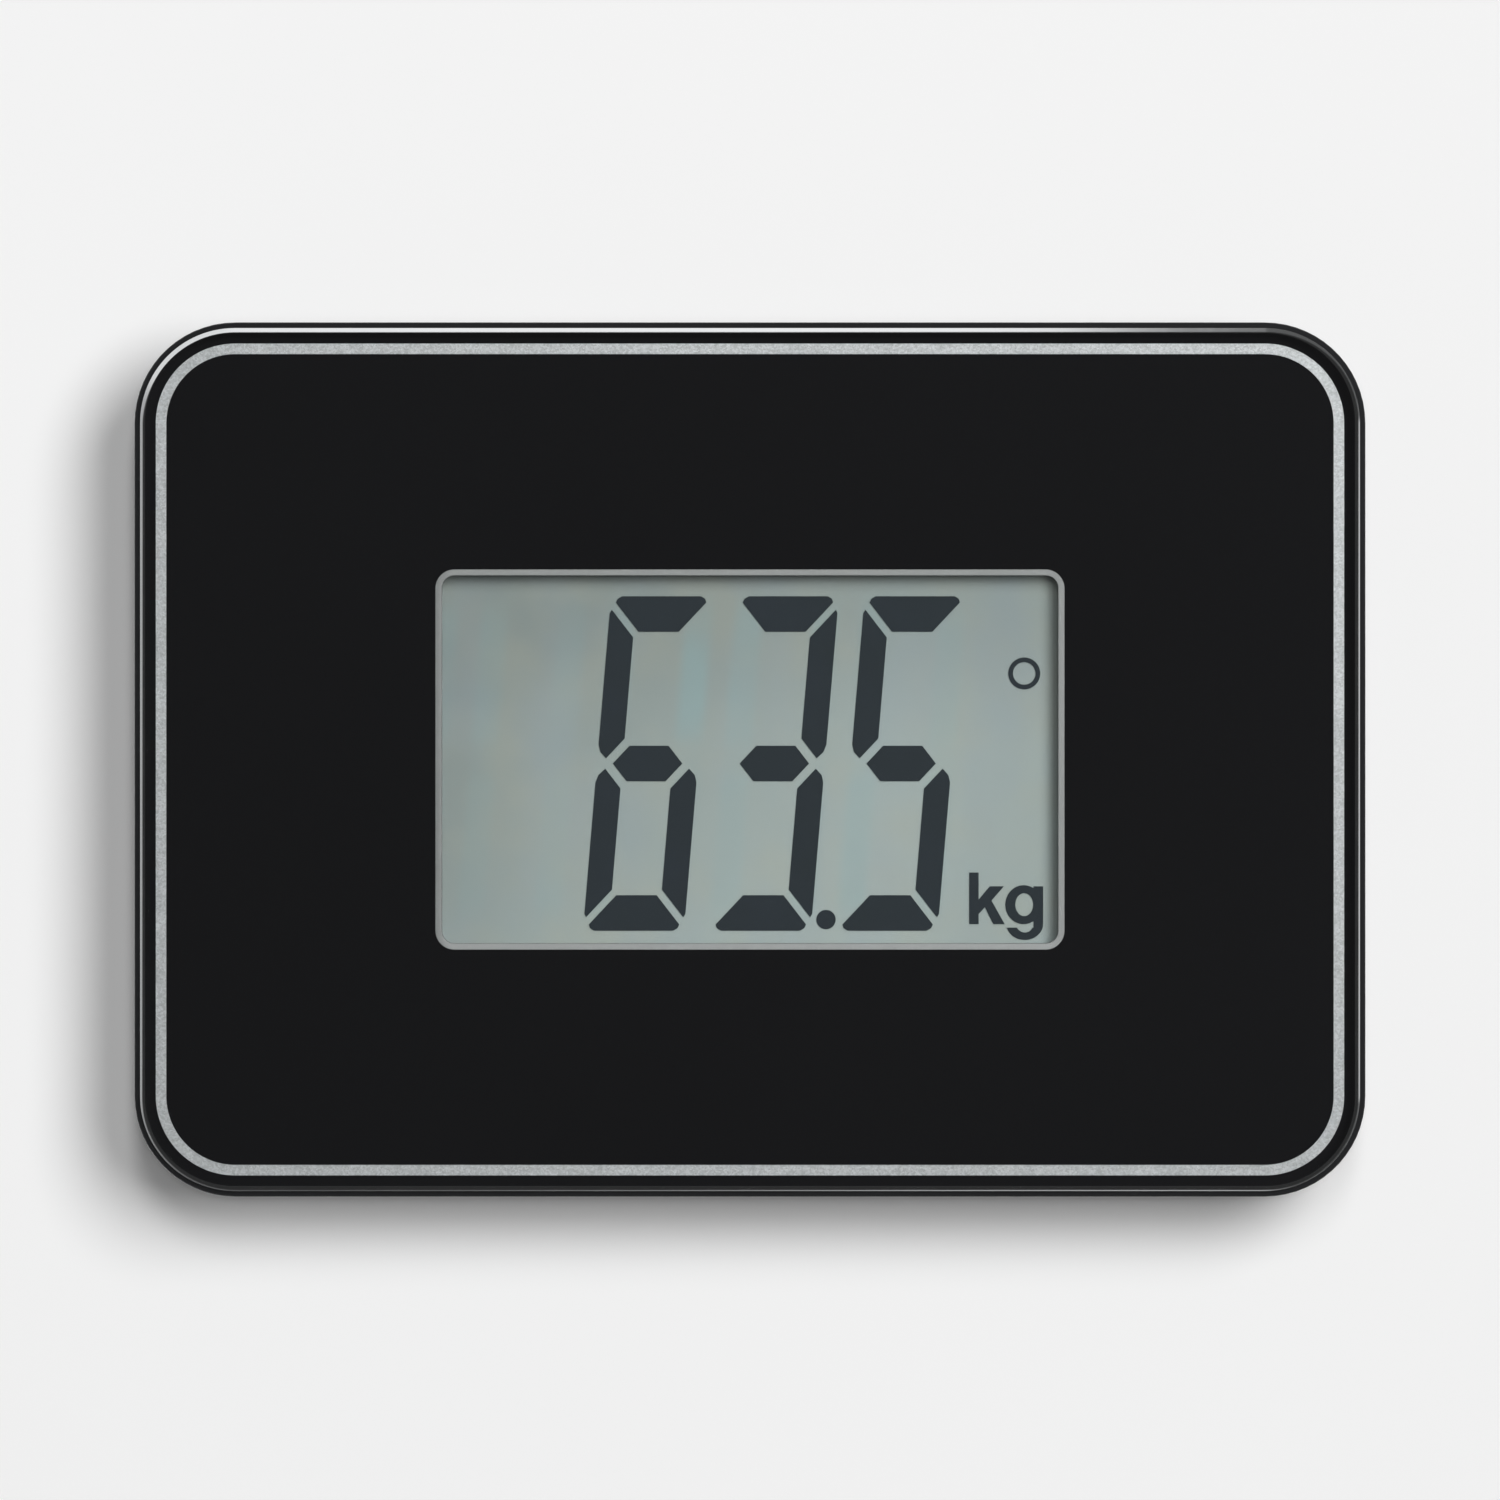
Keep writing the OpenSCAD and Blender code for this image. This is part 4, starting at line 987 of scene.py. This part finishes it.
class SCALE_OT_interior(bpy.types.Operator):
    """Finishes the plate, board, load cells, leads and cells"""
    bl_idname = "scale.interior"
    bl_label = "Interior"

    def execute(self, context):
        dress(plated("zinc_plate", (0.5, 0.51, 0.53), 0.35), "stiffener_plate")
        make_load_cells(plated("cell_steel", (0.55, 0.55, 0.54), 0.3, (12.0, 1.0, 1.0)),
                        moulded("coating_silicone", (0.7, 0.68, 0.6), 0.6, 700.0))
        dress(board_mask(), "main_pcb")
        dress(moulded("epoxy_blob", (0.012, 0.012, 0.012), 0.25, 500.0), "chip_blob")
        for node, name, value, roughness in (
                ("capacitors", "capacitor_sleeve", (0.02, 0.03, 0.12), 0.35),
                ("wire_headers", "header_nylon", (0.7, 0.67, 0.58), 0.5),
                ("tact_switch", "switch_body", (0.02, 0.02, 0.02), 0.45),
                ("switch_plunger", "plunger_plastic", (0.4, 0.05, 0.04), 0.45)):
            dress(moulded(name, value, roughness), node)
        leads = {"red": (0.4, 0.02, 0.015), "white": (0.7, 0.7, 0.68), "black": (0.015, 0.015, 0.015)}
        for name, value in leads.items():
            sleeve = moulded(f"lead_{name}", value, 0.45)
            make_leads(sleeve, f"leads_{name}")
            if name != "white":
                dress(sleeve, f"battery_lead_{name}")
        dress(wrapped_cell("cell_wrap_rear", 1), "aaa_cell_1", "aaa_cell_3")
        dress(wrapped_cell("cell_wrap_front", -1), "aaa_cell_2", "aaa_cell_4")
        return {"FINISHED"}


# ---- stage
KEY_HEIGHT, KEY_LEAN, KEY_SPREAD, KEY_TURN = 1.25, (0.526, 0.333), (0.89, 0.61), 1.144
KEY_FALL = 3.4  # power of the key's distance that the floor's tone makes up for
FILLS = (  # (name, height, lean, spread), the last two per metre of height
    ("side_fill", 1.6, (0.03, 0.37), (0.16, 0.45)), ("top_fill", 2.0, (0.0, 0.02), (0.18, 0.18)))
UNDER = (("under_fill", (0.0, 0.0, -1.2), 1.8, 1.5), ("under_key", (-0.7, -0.6, -0.9), 0.68, 9.0))
FLOOR_RADIUS, FLOOR_CORNERS = 4.0, 64
FLOOR_GAP = 0.03 * MM
WALL_PEAK = (-0.42, 0.91, 0.0)  # way to the wall's highest part
WALL_TONES = (  # (bearing in degrees clockwise from +Y, brightness)
    (-180, 0.36), (-178, 0.2), (-176, 0.14), (-150, 0.12), (-112, 0.28), (-90, 0.43), (-75, 0.46),
    (-60, 0.78), (-40, 0.8), (-12, 0.86), (0, 1.0), (3.3, 0.97), (4.4, 0.12), (60, 0.1), (84, 0.14),
    (87, 0.66), (93, 0.68), (97, 0.16), (120, 0.08), (158, 0.1), (170, 0.22), (176, 0.6), (178.5, 0.52),
    (180, 0.36))


def above(height, lean):
    """The place at a height, moved sideways by lean per metre of height."""
    return Vector((lean[0], lean[1], 1.0)) * height


def make_floor(settings):
    """A pale floor, toned against the key's falloff. It is clear from below, to show and light the base."""
    data = bmesh.new()
    turns = [2 * math.pi * step / FLOOR_CORNERS for step in range(FLOOR_CORNERS)]
    places = [(FLOOR_RADIUS * math.cos(turn), FLOOR_RADIUS * math.sin(turn), -FLOOR_GAP) for turn in turns]
    data.faces.new([data.verts.new(place) for place in places])
    floor = to_object("floor", data)
    material, tree, place = new_material("floor_paper")
    key = above(KEY_HEIGHT, KEY_LEAN)
    fall = maths(tree, "POWER", maths(tree, "DIVIDE", key.length, distance(tree, place, key)), KEY_FALL)
    level = maths(tree, "MULTIPLY_ADD", fall, settings.key, 1 - settings.key)
    grain = between(tree, noise(tree, place, 6.0), 0.997, 1.003)
    even = product(tree, maths(tree, "DIVIDE", 1.0, level), grain)
    paper = feed(tree, "ShaderNodeBsdfDiffuse", {"Color": scaled(tree, tuple(settings.floor), even)})
    below = add(tree, "ShaderNodeNewGeometry").outputs["Backfacing"]
    open_way = maths(tree, "MAXIMUM", below, ray(tree, "Shadow"))
    surfaced(material, either(tree, open_way, paper, feed(tree, "ShaderNodeBsdfTransparent")))
    floor.data.materials.append(material)


def oval(width, depth):
    """The area of an ellipse."""
    return math.pi / 4 * width * depth


def lamp(name, place, width, depth, radiance, turn=None):
    """A soft oval lamp of even radiance. It lies level at an angle, or it looks at the origin."""
    data = bpy.data.lights.new(name, "AREA")
    data.shape = "ELLIPSE"
    data.size, data.size_y = width, depth
    data.energy = radiance * math.pi * oval(width, depth)
    item = linked(name, data)
    item.location = place
    if turn is None:
        item.rotation_euler = (-Vector(place)).to_track_quat("-Z", "Y").to_euler()
    else:
        item.rotation_euler = (0.0, 0.0, turn)
    item.visible_camera = False
    return item


def overhead(name, height, lean, spread, share, turn=0.0):
    """A level lamp that gives the floor a share of its light. Lean and spread are per metre of height."""
    place = above(height, lean)
    width, depth = spread[0] * height, spread[1] * height
    radiance = share * math.pi * place.length ** 4 / (oval(width, depth) * height ** 2)
    return lamp(name, place, width, depth, radiance, turn)


def grey_ramp(tree, value, stops):
    """Greys that follow a value, given as (value, grey) stops."""
    ramp = add(tree, "ShaderNodeValToRGB", {"Fac": value})
    points = ramp.color_ramp.elements
    while len(points) < len(stops):
        points.new(1.0)
    for point, (position, level) in zip(points, stops):
        point.position = position
        point.color = rgba((level,) * 3)
    return ramp.outputs[0]


def make_world(settings):
    """Soft room light, dim overhead. Reflections see a wall, brightest from the left round to the back."""
    world = bpy.data.worlds.new("room")
    world.use_nodes = True
    tree = world.node_tree
    tree.nodes.clear()
    way = add(tree, "ShaderNodeTexCoord").outputs["Generated"]
    split = axes(tree, way)
    soft = grey_ramp(tree, split["Z"], ((0.0, 0.14), (0.3, 0.1), (0.65, 0.05), (1.0, 0.02)))
    dark = grey_ramp(tree, split["Z"], ((0.0, 0.03), (0.35, 0.035), (0.6, 0.12), (0.9, 0.05), (1.0, 0.04)))
    level_way = vectors(tree, "NORMALIZE", vectors(tree, "MULTIPLY", way, (1.0, 1.0, 0.0))[0])[0]
    facing = vectors(tree, "DOT_PRODUCT", level_way, WALL_PEAK)["Value"]
    facing = maths(tree, "POWER", maths(tree, "MAXIMUM", facing, 0.0), 1.5)
    over_wall = maths(tree, "SUBTRACT", split["Z"], maths(tree, "MULTIPLY_ADD", facing, 0.21, 0.06))
    wall = slope(tree, over_wall, -0.02, 0.03, 1.0, 0.0)
    turn = maths(tree, "ARCTAN2", split["X"], split["Y"])
    bearing = maths(tree, "MULTIPLY_ADD", turn, 0.5 / math.pi, 0.5)
    tone = grey_ramp(tree, bearing, [(angle / 360 + 0.5, level) for angle, level in WALL_TONES])
    level = product(tree, tone, settings.wall)
    grey = feed(tree, "ShaderNodeCombineColor", {"Red": level, "Green": level, "Blue": level})
    room = blend(tree, ray(tree, "Glossy"), soft, blend(tree, wall, dark, grey))
    seen = blend(tree, ray(tree, "Camera"), room, rgba(settings.floor))
    light = feed(tree, "ShaderNodeBackground", {"Color": seen, "Strength": 1.0})
    add(tree, "ShaderNodeOutputWorld", {"Surface": light})
    bpy.context.scene.world = world


def make_lamps(settings):
    overhead("key", KEY_HEIGHT, KEY_LEAN, KEY_SPREAD, settings.key, KEY_TURN).visible_glossy = False
    for name, height, lean, spread in FILLS:
        item = overhead(name, height, lean, spread, getattr(settings, name))
        item.visible_glossy = False
        item.visible_transmission = False
    for name, place, across, radiance in UNDER:
        lamp(name, place, across, across, radiance)


def make_camera(settings):
    data = bpy.data.cameras.new("camera")
    data.sensor_width = 36.0
    top = CAD_BOX[1][2]
    data.lens = data.sensor_width * (settings.camera_height - top) / settings.view_side
    data.clip_start, data.clip_end = 0.01, 50.0
    item = linked("camera", data)
    item.location = (0.0, settings.camera_shift, settings.camera_height)
    bpy.context.scene.camera = item


class SCALE_OT_stage(bpy.types.Operator):
    """Makes the floor, the lamps, the room light and the camera"""
    bl_idname = "scale.stage"
    bl_label = "Stage"

    def execute(self, context):
        settings = context.scene.scale_stage
        make_floor(settings)
        make_world(settings)
        make_lamps(settings)
        make_camera(settings)
        context.scene.view_settings.view_transform = "Standard"
        return {"FINISHED"}


OPERATORS = (SCALE_OT_platform, SCALE_OT_display, SCALE_OT_housing, SCALE_OT_feet, SCALE_OT_hardware,
             SCALE_OT_interior, SCALE_OT_stage)


class SCALE_PT_maker(bpy.types.Panel):
    """Lists the makers and their sizes"""
    bl_idname = "SCALE_PT_maker"
    bl_label = "Bathroom scale"
    bl_space_type = "VIEW_3D"
    bl_region_type = "UI"
    bl_category = "Scale"

    def draw(self, context):
        for maker in OPERATORS:
            self.layout.operator(maker.bl_idname)
        for name, group in GROUPS.items():
            box = self.layout.box()
            settings = getattr(context.scene, name)
            for label in group.__annotations__:
                box.prop(settings, label)


def register():
    for kind in (*GROUPS.values(), *OPERATORS, SCALE_PT_maker):
        bpy.utils.register_class(kind)
    for name, group in GROUPS.items():
        setattr(bpy.types.Scene, name, PointerProperty(type=group))


def unregister():
    for name in GROUPS:
        delattr(bpy.types.Scene, name)
    for kind in reversed((*GROUPS.values(), *OPERATORS, SCALE_PT_maker)):
        bpy.utils.unregister_class(kind)


def main():
    register()
    for maker in OPERATORS:
        family, name = maker.bl_idname.split(".")
        getattr(getattr(bpy.ops, family), name)()


if __name__ == "__main__":
    main()
